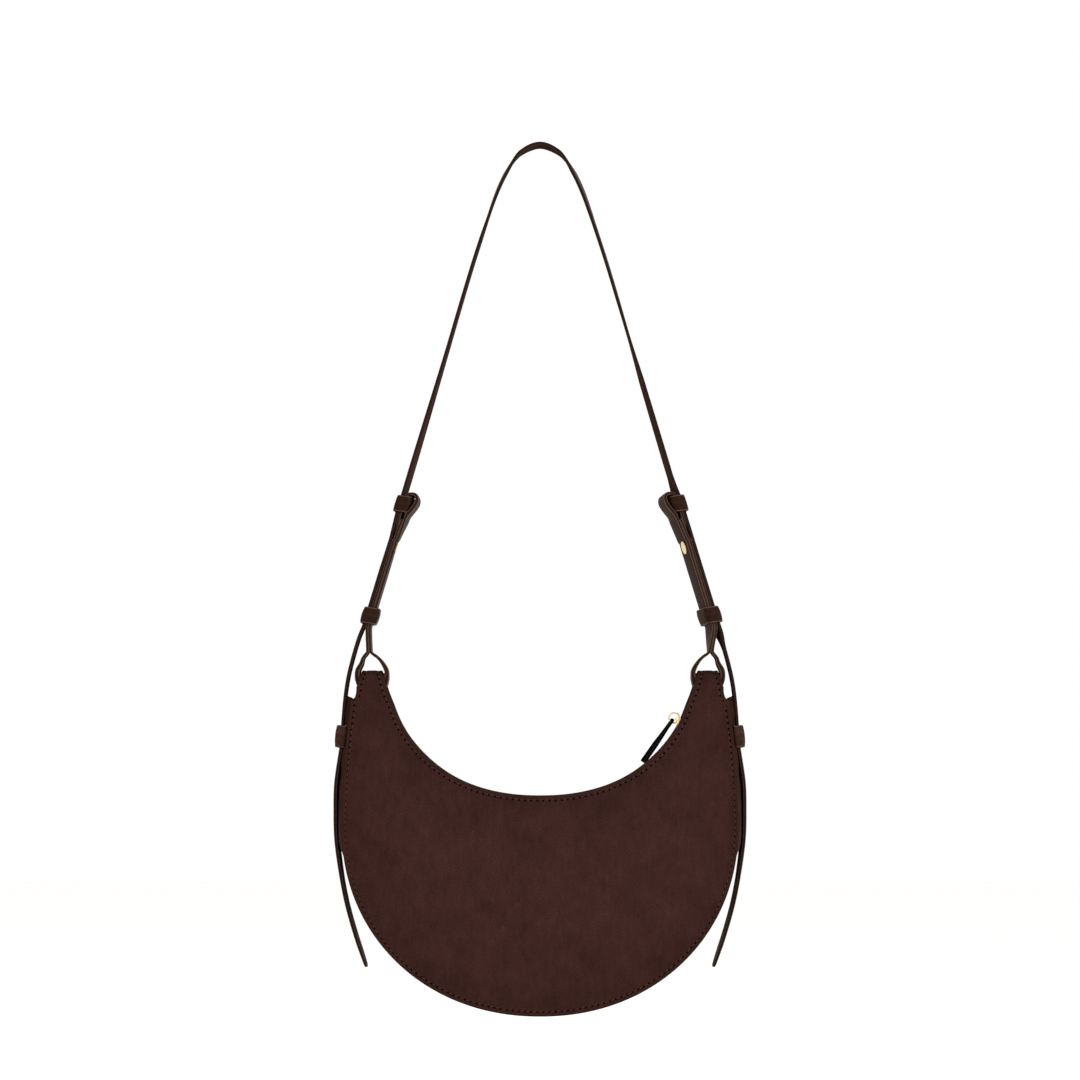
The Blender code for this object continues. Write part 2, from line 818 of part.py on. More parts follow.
def build_shoulder_strap():
    """The long strap over the shoulder, down to where it passes the horns."""
    lower, end, way = lower_route()
    line = upper_route()
    run = [stack_spot(stack_length * k / 12, 0) for k in range(1, 12)]
    stop = axis_z + strap_width / 2 + cut_gap
    line += run + line_part(lower, stop, lower[0].y)
    level = Vector((1, 0))
    sizes = [(strap_thick, strap_width / 2)] * len(line)
    right = ribbon_loops(1, line, sizes, level)
    left = ribbon_loops(-1, line, sizes, level)
    strap = add_piece("shoulder_strap", tube(left[::-1] + right), strap_leather)
    room = stud_flange_radius + stud_room
    spots = [(side, along) for side in (-1, 1) for along in hole_places()]
    reach = (-strap_thick / 2 - touch_gap / 2, strap_thick / 2 + overrun)
    cut_away(smooth(strap), drill(spots, room, reach))


def build_strap_run(name, side):
    """The strap's stretch from beside the horn into the side keeper: its end is round about the hinge."""
    lower, end, way = lower_route()
    radius = strap_width / 2
    line = []
    for k in range(knuckle_steps):
        turn = math.pi / 2 * (k + knuckle_start_share) / knuckle_steps
        line.append(line_part(lower, axis_z + radius * math.cos(turn), axis_z + radius)[-1])
    line += line_part(lower, end.y - touch_gap, axis_z)
    knuckle = end + way * (side_keeper_height / 2 + strap_thick / 2 + run_end_gap)
    line.append(knuckle - way * (strap_thick / 2 + run_end_gap))
    halves = [math.sqrt(radius**2 - max(spot.y - axis_z, 0) ** 2) for spot in line]
    sizes = [(strap_thick, half) for half in halves]
    add_piece(name, tube(ribbon_loops(side, line, sizes)), strap_leather)
    return knuckle


def build_strap_tail(name, side, knuckle):
    """The hanging end of the strap, tapered to a point, turning at the side keeper's lower lip."""
    points = [knuckle + Vector((x * tail_drop, -z * tail_drop)) for x, z in tail_route_shares]
    line = smooth_line(points, strap_step)
    tip = line[-1]
    last = (line[-2] - tip).normalized()
    line = [spot for spot in line if spot.y - tip.y > tail_point]
    line += [tip + last * tail_point * share for share in tip_shares]
    sizes = [(strap_thick, pointed_half(spot.y - tip.y, tail_point)) for spot in line]
    way = (line[1] - line[0]).normalized()
    half = strap_thick / 2
    rounded = [line[0] - way * half * math.sin(turn) for turn in knuckle_turns]
    sizes = [(strap_thick * math.cos(turn), strap_width / 2) for turn in knuckle_turns] + sizes
    tail = add_piece(name, tube(ribbon_loops(side, rounded + line, sizes)), strap_leather)
    hinge = Vector((side * knuckle.x, 0, knuckle.y))
    tail.data.transform(Matrix.Translation(-hinge))
    tail.location = hinge


split = Vector((horn_centre + split_out, axis_z + split_height))
half_pair = Vector(((loop_thick + layer_gap) / 2, 0))
near_layer = -(strap_thick / 2 + touch_gap + loop_thick / 2)


def outer_layer():
    """The loop strap's line from its sewn end, beside the tongue and then the main strap, to the split."""
    high = near_layer - layer_gap - loop_thick
    low = near_layer - layer_gap - tongue_tip_thick
    clear = stud_at - stud_head_radius
    return smooth_line([
        stack_spot(seam_at, high),
        stack_spot((seam_at + tongue_tip_at) / 2, (low + high) / 2),
        stack_spot(tongue_tip_at, low),
        stack_spot(clear, near_layer),
        stack_spot(stud_at, near_layer),
        stack_spot(stud_at + keeper_height, near_layer),
        stack_spot(stack_length - leg_step * 2, near_layer),
        stack_spot(stack_length, near_layer),
        split + half_pair], strap_step / 2)


def horn_legs():
    """The loop strap's line from the split down one leg, under the horn's tunnel and up the other."""
    leg = horn_half_width + leg_gap + loop_thick / 2
    lean = Vector((loop_thick / 3, -loop_thick))
    lines = []
    for way in (1, -1):
        start = split + half_pair * way
        end = Vector((horn_centre + leg * way, axis_z + leg_straight))
        step = Vector((lean.x * way, lean.y))
        lines.append(smooth_line([start, start + step, end - step, end], leg_step))
    reach = leg - leg_bend
    low = axis_z + leg_bend
    right_turn = arc(Vector((horn_centre + reach, low)), leg_bend, 0, -math.pi / 2, bend_step)
    left_turn = arc(Vector((horn_centre - reach, low)), leg_bend, -math.pi / 2, -math.pi, bend_step)
    return lines[0][1:] + right_turn + left_turn + lines[1][:0:-1]


def fold_line(start):
    """The loop strap's line over the upper keeper, from the outer layer's seam to inside the keeper."""
    height = seam_at - fold_top_at
    points = [stack_spot(fold_top_at + height * down, -fold_reach * out) for out, down in fold_route_shares]
    points += [stack_spot(upper_keeper_at, near_layer), stack_spot(seam_at, near_layer)]
    return smooth_line([start, *points], bend_step)[1:]


def loop_shape():
    """The loop strap's whole line with its thickness and half width at each point."""
    outer = outer_layer()
    inner = offset_line(outer, loop_thick + layer_gap)[::-1]
    line = outer + horn_legs() + inner
    line += fold_line(inner[-1])
    sizes = [(loop_thick, strap_width / 2)] * len(line)
    length = tongue_tip_at - seam_at
    for share in tongue_shares:
        thick = loop_thick + (tongue_tip_thick - loop_thick) * share
        along = seam_at + length * share
        line.append(stack_spot(along, -(strap_thick / 2 + touch_gap + thick / 2)))
        sizes.append((thick, pointed_half(length * (1 - share), tongue_point)))
    return line, sizes


def build_loop_strap(name, side):
    """The strap that carries a horn: doubled above it, folded over the upper keeper, its tongue pointed."""
    line, sizes = loop_shape()
    strap = add_piece(name, tube(ribbon_loops(side, line, sizes)), strap_leather)
    reach = (-(strap_thick / 2 + 2 * (touch_gap + loop_thick)) - overrun, -strap_thick / 2 - touch_gap / 2)
    cut_away(smooth(strap), drill([(side, stud_at)], stud_post_radius + stud_room, reach))


def turned_solid(side, along, profile):
    """A round solid across the bundle: pairs of distance off the strap's middle and radius."""
    loops = []
    for off, radius in profile:
        loops.append([
            place(side, stack_spot(along + radius * math.cos(a), off), radius * math.sin(a))
            for a in (2 * math.pi * k / round_segments for k in range(round_segments))
        ])
    return tube(loops)


def build_stud(name, side):
    """A screw stud through the doubled loop strap: its flange fills a hole of the main strap."""
    face = -(strap_thick / 2 + touch_gap + 2 * loop_thick + layer_gap) - stud_head_room
    inner = -strap_thick / 2 - touch_gap / 2
    profile = ((face - stud_head_thick, stud_head_radius * 0.8), (face - stud_head_thick / 2, stud_head_radius),
               (face, stud_head_radius), (face, stud_post_radius), (inner + touch_gap, stud_post_radius),
               (inner + touch_gap, stud_flange_radius), (strap_thick / 2 - touch_gap, stud_flange_radius),
               (strap_thick / 2, stud_flange_radius - stud_flange_thick))
    stud = add_piece(name, turned_solid(side, stud_at, profile), gold)
    slot = []
    for off in (face - stud_head_thick - overrun, face - stud_head_thick + screw_slot_depth):
        slot.append([
            place(side, stack_spot(stud_at + a * screw_slot_width / 2, off), b * (stud_head_radius + overrun))
            for a, b in ((-1, -1), (1, -1), (1, 1), (-1, 1))
        ])
    cut_away(smooth(stud), tube(slot))


def keeper_loops(low, high, half_across, rounding):
    """A rounded box outline across a bundle, as pairs of off and across."""
    r = rounding
    return [(low + r, -half_across), (high - r, -half_across), (high, -half_across + r), (high, half_across - r),
            (high - r, half_across), (low + r, half_across), (low, half_across - r), (low, -half_across + r)]


def build_keeper(name, side, at, layers):
    """A loose leather keeper round the main strap and a number of loop strap layers."""
    low = -(strap_thick / 2 + layers * (touch_gap + loop_thick)) - keeper_room
    high = strap_thick / 2 + keeper_room
    half = strap_width / 2 + keeper_room
    inner = keeper_loops(low, high, half, keeper_round / 5)
    outer = keeper_loops(low - keeper_wall, high + keeper_wall, half + keeper_wall, keeper_round)
    ends = (at - keeper_height / 2, at + keeper_height / 2)
    loops = []
    for along, outline in ((ends[0], outer), (ends[1], outer), (ends[1], inner), (ends[0], inner)):
        loops.append([place(side, stack_spot(along, off), across) for off, across in outline])
    centre = place(side, stack_spot(at, 0), 0)
    keeper = add_piece(name, band(loops), strap_leather)
    keeper.data.transform(Matrix.Translation(-centre))
    keeper.location = centre


def build_side_keeper(name, side):
    """The keeper sewn to the gusset that holds the strap's end against the bag."""
    spot, way, out = side_keeper_frame()
    inside = touch_gap + keeper_wall
    room = side_keeper_room
    low, high = inside, inside + room * 2 + strap_thick
    half = strap_width / 2 + room
    inner = keeper_loops(low, high, half, keeper_round / 5)
    outer = keeper_loops(touch_gap, high + keeper_wall, half + keeper_wall, keeper_round)
    ends = (-side_keeper_height / 2, side_keeper_height / 2)
    loops = []
    for along, outline in ((ends[0], outer), (ends[1], outer), (ends[1], inner), (ends[0], inner)):
        loops.append([place(side, spot + way * along + out * off, across) for off, across in outline])
    add_piece(name, band(loops), strap_leather)


def build_tunnel(name, side):
    """The leather sleeve across a horn that the loop strap turns in."""
    loops = []
    ends = (horn_centre - tunnel_half_length, horn_centre + tunnel_half_length)
    for x, radius in ((ends[0], tunnel_radius), (ends[1], tunnel_radius), (ends[1], bore_radius), (ends[0], bore_radius)):
        loops.append([
            Vector((side * x, radius * math.cos(a), axis_z + radius * math.sin(a)))
            for a in (2 * math.pi * k / ring_segments for k in range(ring_segments))
        ])
    smooth(add_piece(name, band(loops), gusset_leather))


def build_sides():
    """Everything that the left and the right side have alike."""
    for word, side in (("left", -1), ("right", 1)):
        build_tunnel(f"{word}_horn_tunnel", side)
        build_loop_strap(f"{word}_loop_strap", side)
        build_stud(f"{word}_stud", side)
        build_keeper(f"{word}_upper_keeper", side, upper_keeper_at, 1)
        build_keeper(f"{word}_lower_keeper", side, lower_keeper_at, 2)
        build_side_keeper(f"{word}_side_keeper", side)
        knuckle = build_strap_run(f"{word}_strap_run", side)
        build_strap_tail(f"{word}_strap_tail", side, knuckle)
        print(word, "tail hinge", tuple(round(v, 5) for v in (side * knuckle.x, 0, knuckle.y)))


def carry(carrier, names):
    """Parent pieces to their carrier where they are."""
    bpy.context.view_layer.update()
    for name in names:
        piece = bpy.data.objects[name]
        piece.parent = carrier
        piece.matrix_parent_inverse = carrier.matrix_world.inverted()


def add_hinge_line(name, height):
    """An empty on a hinge's line, to carry what turns about it."""
    line = bpy.data.objects.new(name, None)
    line.location = (0, 0, height)
    bpy.context.scene.collection.objects.link(line)
    return line


def join_up():
    """Put every piece under what carries it, with an empty where no piece has its origin on the line."""
    ends = [f"{word}_{part}" for word in ("left", "right")
            for part in ("horn_tunnel", "side_keeper", "strap_run", "strap_tail")]
    swing = add_hinge_line("swing_line", axis_z)
    add_hinge_line("zip_line", bottom_z + zip_centre_height)
    carry(swing, ["front_panel", "back_panel", "outer_gusset", "lining", "zip_strip_front", "zip_strip_back",
                  "zip_tape_front", "zip_tape_back", "zip_teeth_front", "zip_teeth_back", "zip_top_stop_front",
                  "zip_top_stop_back", "zip_bottom_stop", "zip_line", *ends])
    carry(bpy.data.objects["zip_line"], ["zip_slider"])
    carry(bpy.data.objects["zip_slider"], ["zip_pull_ring"])
    carry(bpy.data.objects["zip_pull_ring"], ["zip_pull_tab"])
    on_strap = [f"{word}_{part}" for word in ("left", "right")
                for part in ("loop_strap", "stud", "upper_keeper", "lower_keeper")]
    carry(bpy.data.objects["shoulder_strap"], on_strap + ["swing_line"])


build_panels()
build_outer_gusset()
build_zip_strips()
build_lining()
build_tapes()
build_teeth()
build_stops()
slider_place, bar_level = build_slider()
ring_bar, ring_centre = build_pull(slider_place, bar_level)
build_shoulder_strap()
build_sides()
join_up()

print("hinge axis height", round(axis_z, 5), "zip centre height", round(bottom_z + zip_centre_height, 5))
print("ring bar", tuple(round(v, 5) for v in ring_bar), "ring centre", tuple(round(v, 5) for v in ring_centre))
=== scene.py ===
# %% [markdown]
# # A crescent crossbody bag, dressed around its solid model
#
# The bag is two suede crescents sewn to a smooth leather wall, closed by a curved metal zip and carried by
# one long strap. The solid model gives every place and size. Here each piece is made again with the
# softness, edges, stitches and finish of the real one, and each rides on the solid body that it belongs to.

# %% The solid model as a fixed frame
import math

import bmesh
import bpy
import numpy as np
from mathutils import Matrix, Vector, noise


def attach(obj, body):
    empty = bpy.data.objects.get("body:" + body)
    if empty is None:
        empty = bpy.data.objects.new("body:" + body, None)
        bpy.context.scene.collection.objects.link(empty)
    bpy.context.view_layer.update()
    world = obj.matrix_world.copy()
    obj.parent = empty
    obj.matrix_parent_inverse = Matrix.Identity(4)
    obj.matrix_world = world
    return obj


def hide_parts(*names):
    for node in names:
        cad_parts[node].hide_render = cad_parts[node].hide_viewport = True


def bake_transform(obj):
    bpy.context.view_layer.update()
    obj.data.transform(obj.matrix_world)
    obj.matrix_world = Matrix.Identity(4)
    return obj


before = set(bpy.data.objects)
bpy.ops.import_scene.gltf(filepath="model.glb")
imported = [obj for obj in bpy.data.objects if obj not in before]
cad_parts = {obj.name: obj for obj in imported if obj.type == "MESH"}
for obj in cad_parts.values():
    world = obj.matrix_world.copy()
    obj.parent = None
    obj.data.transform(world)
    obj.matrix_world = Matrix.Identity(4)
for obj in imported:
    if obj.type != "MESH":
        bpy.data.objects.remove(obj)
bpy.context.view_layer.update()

MM = 0.001
SIDES = (("left", -1), ("right", 1))
FACES = (("front", -1), ("back", 1))

# %% [markdown]
# ## Sizes
#
# The lengths that the solid model was drawn with, in metres. Repeating them lets each piece follow the very
# same curves with finer steps. Only the left bundle's twist, the tip of the tongue and the stud's place and
# head are nearer to the photograph than in the solid model. Heights of the bag are counted from its lowest
# point.

# %% Sizes of the bag
bag_height, bag_width, bag_depth = 0.221, 0.253, 0.068
hang_drop, pinch_height, touch_gap = 0.337, 0.157, 0.0003
widest_height, lower_fullness = 0.1226, 2.1
mouth_inset, mouth_low_height, mouth_rise = 0.0093, 0.1407, 0.010
mouth_fullness, mouth_start_drop = 2.2, 0.012
shoulder_drop, shoulder_round, shoulder_out = 0.0088, 0.0018, 0.00404
top_seam_gap, seam_room = 0.0004, 0.0002
panel_thick, gusset_thick, tunnel_thick, lining_thick = 0.0014, 0.0014, 0.0012, 0.0005
seam_flange, shoulder_flange = 0.006, 0.0032
horn_inset, horn_half_width, horn_tip_half_width = 0.0187, 0.0097, 0.0066
strap_width, strap_thick, loop_thick = 0.016, 0.0020, 0.0018

bore_radius = math.hypot(strap_width / 2, loop_thick / 2) + 0.00035
horn_radius = bore_radius + tunnel_thick + touch_gap + panel_thick
axis_height = bag_height - horn_radius
horn_centre = bag_width / 2 - horn_inset
mouth_half_width = horn_centre - mouth_inset
shoulder_height = axis_height - shoulder_drop
shoulder_x = horn_centre + horn_half_width + shoulder_out
side_lean_height = (shoulder_height - shoulder_round - widest_height) / math.sqrt(
    1 - (2 * shoulder_x / bag_width) ** 2)
bottom_z = -hang_drop - bag_height
axis_z = bottom_z + axis_height
under_panel = panel_thick + touch_gap + seam_room
mouth_centre_height = bag_height + mouth_rise
mouth_drop = mouth_centre_height - mouth_low_height
bag_middle = np.array([0, 0, bottom_z + 0.12])
print("swing axis at", round(axis_z, 4), "bag's bottom at", round(bottom_z, 4))

# %% Sizes of the straps
run_end_out, run_end_rise = 0.00534, 0.03984
stack_lean, stack_length = math.radians(17), 0.0925
left_twist, right_twist = math.radians(6), math.radians(15)
twist_start, twist_full, twist_end = 0.100, 0.008, 0.017
split_height, split_out, layer_gap = 0.0231, 0.0019, 0.0001
keeper_height, keeper_wall, keeper_room = 0.0108, 0.0015, 0.0004
upper_keeper_at, lower_keeper_at = 0.0109, 0.0855
fold_reach, fold_top_at, seam_at, tongue_tip_at = 0.0098, 0.0029, 0.0215, 0.0335
tongue_tip_thick, tongue_point, stud_at = 0.0004, 0.010, 0.0383
stud_head_radius, stud_head_thick, stud_head_room = 0.0042, 0.0005, 0.00010
stud_flange_radius, stud_post_radius, stud_room = 0.0031, 0.0013, 0.0003
hole_pitch, holes_below_stud = 0.015, 2
side_keeper_height, side_keeper_above_bottom = 0.0125, 0.1780
tail_drop, tail_point, tail_tip_width, run_end_gap = 0.1406, 0.013, 0.003, 0.0003

strap_route = ((0.138, 0.0205), (0.215, 0.0555), (0.308, 0.1255), (0.404, 0.2305),
               (0.520, 0.3705), (0.732, 0.6505), (1.0, 1.0))
lower_route = ((0, 0), (0.259, 0.127), (0.643, 0.396), (0.800, 0.557), (0.910, 0.748), (1, 1))
tail_route = ((0.0, 0.0), (0.0235, 0.1565), (0.027, 0.2845), (0.0235, 0.4125),
              (0.0043, 0.5576), (-0.0235, 0.704), (-0.064, 0.85), (-0.1138, 1.0))
fold_route = ((0.68, 0.75), (0.90, 0.48), (1.03, 0.25), (1.00, 0.08), (0.82, -0.02),
              (0.50, 0.0), (0.27, 0.085))

# %% Sizes of the zip
zip_half_gap, tape_reach, tape_edge, tape_thick = 0.0050, 0.0082, 0.0029, 0.0006
zip_end_x = mouth_half_width - 0.00355
zip_low = mouth_low_height - 0.0044
zip_rise = axis_height - 0.01349 - zip_low
zip_radius = (zip_end_x**2 + zip_rise**2) / (2 * zip_rise)
zip_centre_height = zip_low + zip_radius
zip_start = math.atan2(zip_radius - zip_rise, zip_end_x)
zip_middle = -gusset_thick - touch_gap - tape_thick / 2
tooth_high, stop_length, stop_grip = 0.0012, 0.0030, 0.0009
slider_length, slider_width, slider_end_width = 0.0120, 0.0088, 0.0074
slider_plate, slider_base, slider_room, slider_lip = 0.0012, 0.0009, 0.0004, 0.0007
bridge_width, bridge_bar, bridge_length, bridge_height = 0.0068, 0.0010, 0.0016, 0.0032
ring_radius, ring_wire = 0.0033, 0.0005
tab_length, tab_top_width, tab_width, tab_thick = 0.0340, 0.0040, 0.0090, 0.0020
tab_lean, tab_hole_radius, tab_hole_inset = math.radians(35), 0.0008, 0.0024
slider_at = zip_start + (stop_length + touch_gap + slider_length / 2) / zip_radius
print("zip radius", round(zip_radius, 4), "slider at", round(math.degrees(slider_at), 1), "degrees")

# %% [markdown]
# ## Colours and a way to add nodes
#
# Colours are written as the hex values that a screen shows. Blender's shaders count in linear light, so one
# function turns them. A second small function adds a node with its settings and links, which keeps each
# material's recipe short enough to read.

# %% Colour and node helpers
# A wave texture of scale one has its bands this far apart
RIB_SCALE = 0.31


def colour(code):
    """Linear colour from an sRGB hex code."""
    parts = [int(code[i:i + 2], 16) / 255 for i in (1, 3, 5)]
    return (*[c / 12.92 if c <= 0.04045 else ((c + 0.055) / 1.055) ** 2.4 for c in parts], 1.0)


def add_node(owner, kind, sockets=None, **settings):
    """Add a node to a material or world. Each socket gets a value or another node's output."""
    tree = owner.node_tree
    node = tree.nodes.new("ShaderNode" + kind)
    for name, value in settings.items():
        setattr(node, name, value)
    for name, value in (sockets or {}).items():
        if isinstance(value, bpy.types.NodeSocket):
            tree.links.new(value, node.inputs[name])
        else:
            node.inputs[name].default_value = value
    return node


def new_finish(name, **values):
    """A material whose Principled shader has these values, with underscores for spaces."""
    made = bpy.data.materials.new(name)
    made.use_nodes = True
    shader = made.node_tree.nodes["Principled BSDF"]
    for socket, value in values.items():
        shader.inputs[socket.replace("_", " ")].default_value = value
    return made


def wire(made, **outputs):
    """Link outputs to the sockets of the material's shader, with underscores for spaces."""
    shader = made.node_tree.nodes["Principled BSDF"]
    for socket, output in outputs.items():
        made.node_tree.links.new(output, shader.inputs[socket.replace("_", " ")])
    return made


def millimetres(made, **mapping):
    """The piece's own map in millimetres, turned or stretched on request."""
    spot = add_node(made, "UVMap", uv_map="millimetres").outputs["UV"]
    return add_node(made, "Mapping", {"Vector": spot, **mapping}).outputs["Vector"] if mapping else spot


def grain(made, spot, size, detail, **more):
    """Noise with features of about this size."""
    sockets = {"Vector": spot, "Scale": 1 / size, "Detail": detail, **more}
    return add_node(made, "TexNoise", sockets).outputs["Fac"]


def ribs(made, spot, size, direction):
    """Even bands this far apart."""
    sockets = {"Vector": spot, "Scale": RIB_SCALE / size}
    return add_node(made, "TexWave", sockets, bands_direction=direction).outputs["Fac"]


def join_up(made, first, second, operation="ADD"):
    """Two values added or multiplied."""
    return add_node(made, "Math", {0: first, 1: second}, operation=operation).outputs[0]


def spread(made, value, low=0.0, high=1.0, least=0.0, most=1.0):
    """A value's range from low to high, spread out from least to most."""
    return add_node(made, "MapRange", {"Value": value, "From Min": low, "From Max": high,
                                       "To Min": least, "To Max": most}).outputs[0]


def between_colours(made, share, deep, raised):
    """A colour between two, by a share."""
    sockets = {0: share, 6: colour(deep), 7: colour(raised)}
    return add_node(made, "Mix", sockets, data_type="RGBA").outputs[2]


def relief(made, height, strength, distance):
    """Bumps as deep as a distance in metres."""
    return add_node(made, "Bump", {"Height": height, "Strength": strength, "Distance": distance}).outputs[0]


# %% [markdown]
# ## Suede
#
# The two crescents are split cow suede: the flesh side, buffed with fine grit until it carries a short nap
# of fibres. It has no gloss at all. Its colour drifts softly where the nap was stroked one way or the
# other, every fibre tip scatters a little light at the rim, and the nap itself is a fine grain of about 0.3
# mm. That is less than half a pixel of the picture here, so the grain is drawn at 0.7 mm.

# %% Split cow suede
NAP_MM, STROKE_MM, CLOUD_MM = 0.7, 3.5, 22
# Painted shade: the suede's colour falls to this share at its edges and fades out over about this reach
EDGE_SHADE_SHARE, SHADE_REACH = 0.74, 0.030


def suede_finish(name, deep, raised):
    """Napped suede: cloudy colour, strokes of the nap, a fine grain and painted shade towards the edges."""
    made = new_finish(name, Roughness=0.95, Specular_IOR_Level=0.06, Sheen_Weight=0.12,
                      Sheen_Roughness=0.45, Sheen_Tint=colour("#8A5A48"))
    spot = millimetres(made)
    brushed = millimetres(made, Scale=(1.0, 0.32, 1.0), Rotation=(0, 0, 0.12))
    clouds = grain(made, spot, CLOUD_MM, 4.0, Roughness=0.6)
    strokes = grain(made, brushed, STROKE_MM, 5.0, Roughness=0.65)
    nap = grain(made, spot, NAP_MM, 3.0, Roughness=0.7)
    drift = spread(made, join_up(made, clouds, strokes), 0.66, 1.34)
    border = add_node(made, "Attribute", attribute_name="from_edge").outputs["Fac"]
    # Painted shade, darker towards the panel's edges
    edge_shade = spread(made, border, least=EDGE_SHADE_SHARE)
    speck = join_up(made, spread(made, nap, 0.3, 0.7, 0.56, 1.44), edge_shade, "MULTIPLY")
    toned = {0: between_colours(made, drift, deep, raised), 3: speck}
    toned = add_node(made, "VectorMath", toned, operation="SCALE").outputs[0]
    return wire(made, Base_Color=toned, Normal=relief(made, nap, 0.55, 0.35 * MM))


suede = suede_finish("split_suede", "#331D19", "#452925")
pressed_suede = suede_finish("pressed_suede_edge", "#341C17", "#46291F")
print("suede grain", NAP_MM, "mm, strokes", STROKE_MM, "mm, clouds", CLOUD_MM, "mm")

# %% [markdown]
# ## Smooth leather and its edges
#
# The strap, keepers, wall and zip strips are pigmented calf leather. The hide was drum dyed, coated with a
# thin dark pigment and ironed, so the pores show as a pebble of about 0.9 mm with a satin gloss that breaks
# up in the creases. The cut edges are sanded and painted in several coats of acrylic edge paint, a little
# glossier than the face. A lighter, glossier colour on the paint's rounded corners is painted highlight: it
# draws the thin bright lines along the loop straps, hanging ends and keepers.

# %% Pigmented calf leather and edge paint
PORE_MM, CREASE_MM, TONE_MM, WAVE_MM = 0.9, 2.6, 14, 2


def leather_finish(name, deep, raised, gloss, shine=0.015):
    """Pigmented leather: pores, fine creases, uneven tone and a broken satin gloss."""
    made = new_finish(name, Roughness=gloss, Specular_IOR_Level=shine)
    spot = millimetres(made)
    pores = add_node(made, "TexVoronoi", {"Vector": spot, "Scale": 1 / PORE_MM, "Smoothness": 0.7},
                     feature="SMOOTH_F1").outputs["Distance"]
    creases = grain(made, spot, CREASE_MM, 6.0, Roughness=0.62, Distortion=0.4)
    shade = spread(made, join_up(made, creases, grain(made, spot, TONE_MM, 3.0)), 0.7, 1.3)
    return wire(made, Base_Color=between_colours(made, shade, deep, raised),
                Roughness=spread(made, creases, 0.3, 0.7, gloss - 0.08, gloss + 0.10),
                Normal=relief(made, join_up(made, pores, creases), 0.6, 0.08 * MM))


def edge_finish(name, deep, raised, gloss=0.38, shine=0.03):
    """Edge paint: smooth coats over sanded fibre, faintly wavy along the edge."""
    made = new_finish(name, Roughness=gloss, Specular_IOR_Level=shine)
    coats = grain(made, millimetres(made), WAVE_MM, 4.0)
    return wire(made, Base_Color=between_colours(made, coats, deep, raised),
                Normal=relief(made, coats, 0.35, 0.12 * MM))


strap_leather = leather_finish("calf_leather_strap", "#26160F", "#3A251C", 0.44)
wall_leather = leather_finish("calf_leather_wall", "#26150F", "#38231C", 0.5, shine=0.005)
keeper_leather = leather_finish("calf_leather_keeper", "#33211B", "#4C352D", 0.5)
strap_back = leather_finish("calf_leather_underside", "#2E1F19", "#46332B", 0.7, shine=0)
lined_back = leather_finish("calf_leather_back", "#1C120E", "#2E1F18", 0.8, shine=0)
tab_leather = leather_finish("calf_leather_pull", "#050503", "#0C0B07", 0.4, shine=0)
edge_paint = edge_finish("edge_paint_brown", "#20130E", "#301F18")
# Painted highlight: a lighter, glossier colour for the rounded corners of the edge paint
ridge_highlight = edge_finish("edge_paint_highlight", "#524037", "#735D51", 0.5)
rim_paint = edge_finish("edge_paint_rim", "#26160F", "#3C2822", 0.5, 0.0)
tab_paint = edge_finish("edge_paint_black", "#050503", "#100F08", 0.35)
strap_finishes = [strap_leather, edge_paint, ridge_highlight]
print("leather pores", PORE_MM, "mm, creases", CREASE_MM, "mm")

# %% [markdown]
# ## Thread, cloth and metal
#
# The thread is bonded polyester of about 0.6 mm: a hard, slightly shiny twist. The zip tape is woven
# polyester and the lining a cotton twill, both drawn with their real thread spacing. The metal is a zinc
# casting, polished and plated in pale gold: a mirror that only a faint haze and hairlines soften.

# %% Thread, needle holes, cloth
TWIST_MM, TAPE_RIB_MM, TWILL_MM = 0.5, 0.7, 0.8


def thread_finish(name, deep, raised):
    """Bonded thread: diagonal twist bands along the stitch."""
    made = new_finish(name, Roughness=0.5, Specular_IOR_Level=0.12)
    ply = ribs(made, millimetres(made), TWIST_MM, "DIAGONAL")
    return wire(made, Base_Color=between_colours(made, ply, deep, raised),
                Normal=relief(made, ply, 0.7, 0.08 * MM))


def weave_finish(name, deep, raised, step_mm, slant):
    """Woven cloth: two sets of crossing ribs, one set turned by the twill's slant."""
    made = new_finish(name, Roughness=0.85, Specular_IOR_Level=0.25, Sheen_Weight=0.15)
    warp = ribs(made, millimetres(made, Rotation=(0, 0, slant)), step_mm, "X")
    over = join_up(made, warp, ribs(made, millimetres(made), step_mm, "Y"), "MULTIPLY")
    return wire(made, Base_Color=between_colours(made, over, deep, raised),
                Normal=relief(made, over, 0.8, 0.12 * MM))


thread = thread_finish("bonded_thread", "#3A241E", "#573C34")
strap_thread = thread_finish("bonded_thread_dark", "#20130F", "#3A281F")
# Painted shade: a near-black finish for the lens in each needle hole
hole_shade = leather_finish("painted_hole_shade", "#050202", "#0A0403", 0.9, shine=0)
tape_cloth = weave_finish("woven_zip_tape", "#1B100F", "#33211F", TAPE_RIB_MM, 0.0)
lining_cloth = weave_finish("cotton_twill_lining", "#2E2019", "#4C382E", TWILL_MM, 0.8)


# %% Gold-plated zinc
def plated_finish(name, code, haze):
    """Polished plating: a metal with faint hairlines in its gloss."""
    made = new_finish(name, Metallic=1.0, Base_Color=colour(code), Roughness=haze)
    place_m = add_node(made, "TexCoord").outputs["Object"]
    hairs = add_node(made, "Mapping", {"Vector": place_m, "Scale": (9000, 900, 900)}).outputs["Vector"]
    lines = grain(made, hairs, 1.0, 3.0)
    return wire(made, Roughness=spread(made, lines, least=haze * 0.7, most=haze * 1.5),
                Base_Color=between_colours(made, lines, code, "#EFDDA8"))


gold = plated_finish("gold_plated_zinc", "#DDBB78", 0.2)
print("finishes", len(bpy.data.materials))

# %% [markdown]
# ## Making surfaces from rings
#
# Almost every piece here is a ring of points carried along a line: a strap's section along its run, a
# panel's cross-section from horn to horn, a keeper's wall round its strap. One function skins such rings.
# It writes a map in millimetres with them, so that grain and weave keep their real size on every piece.


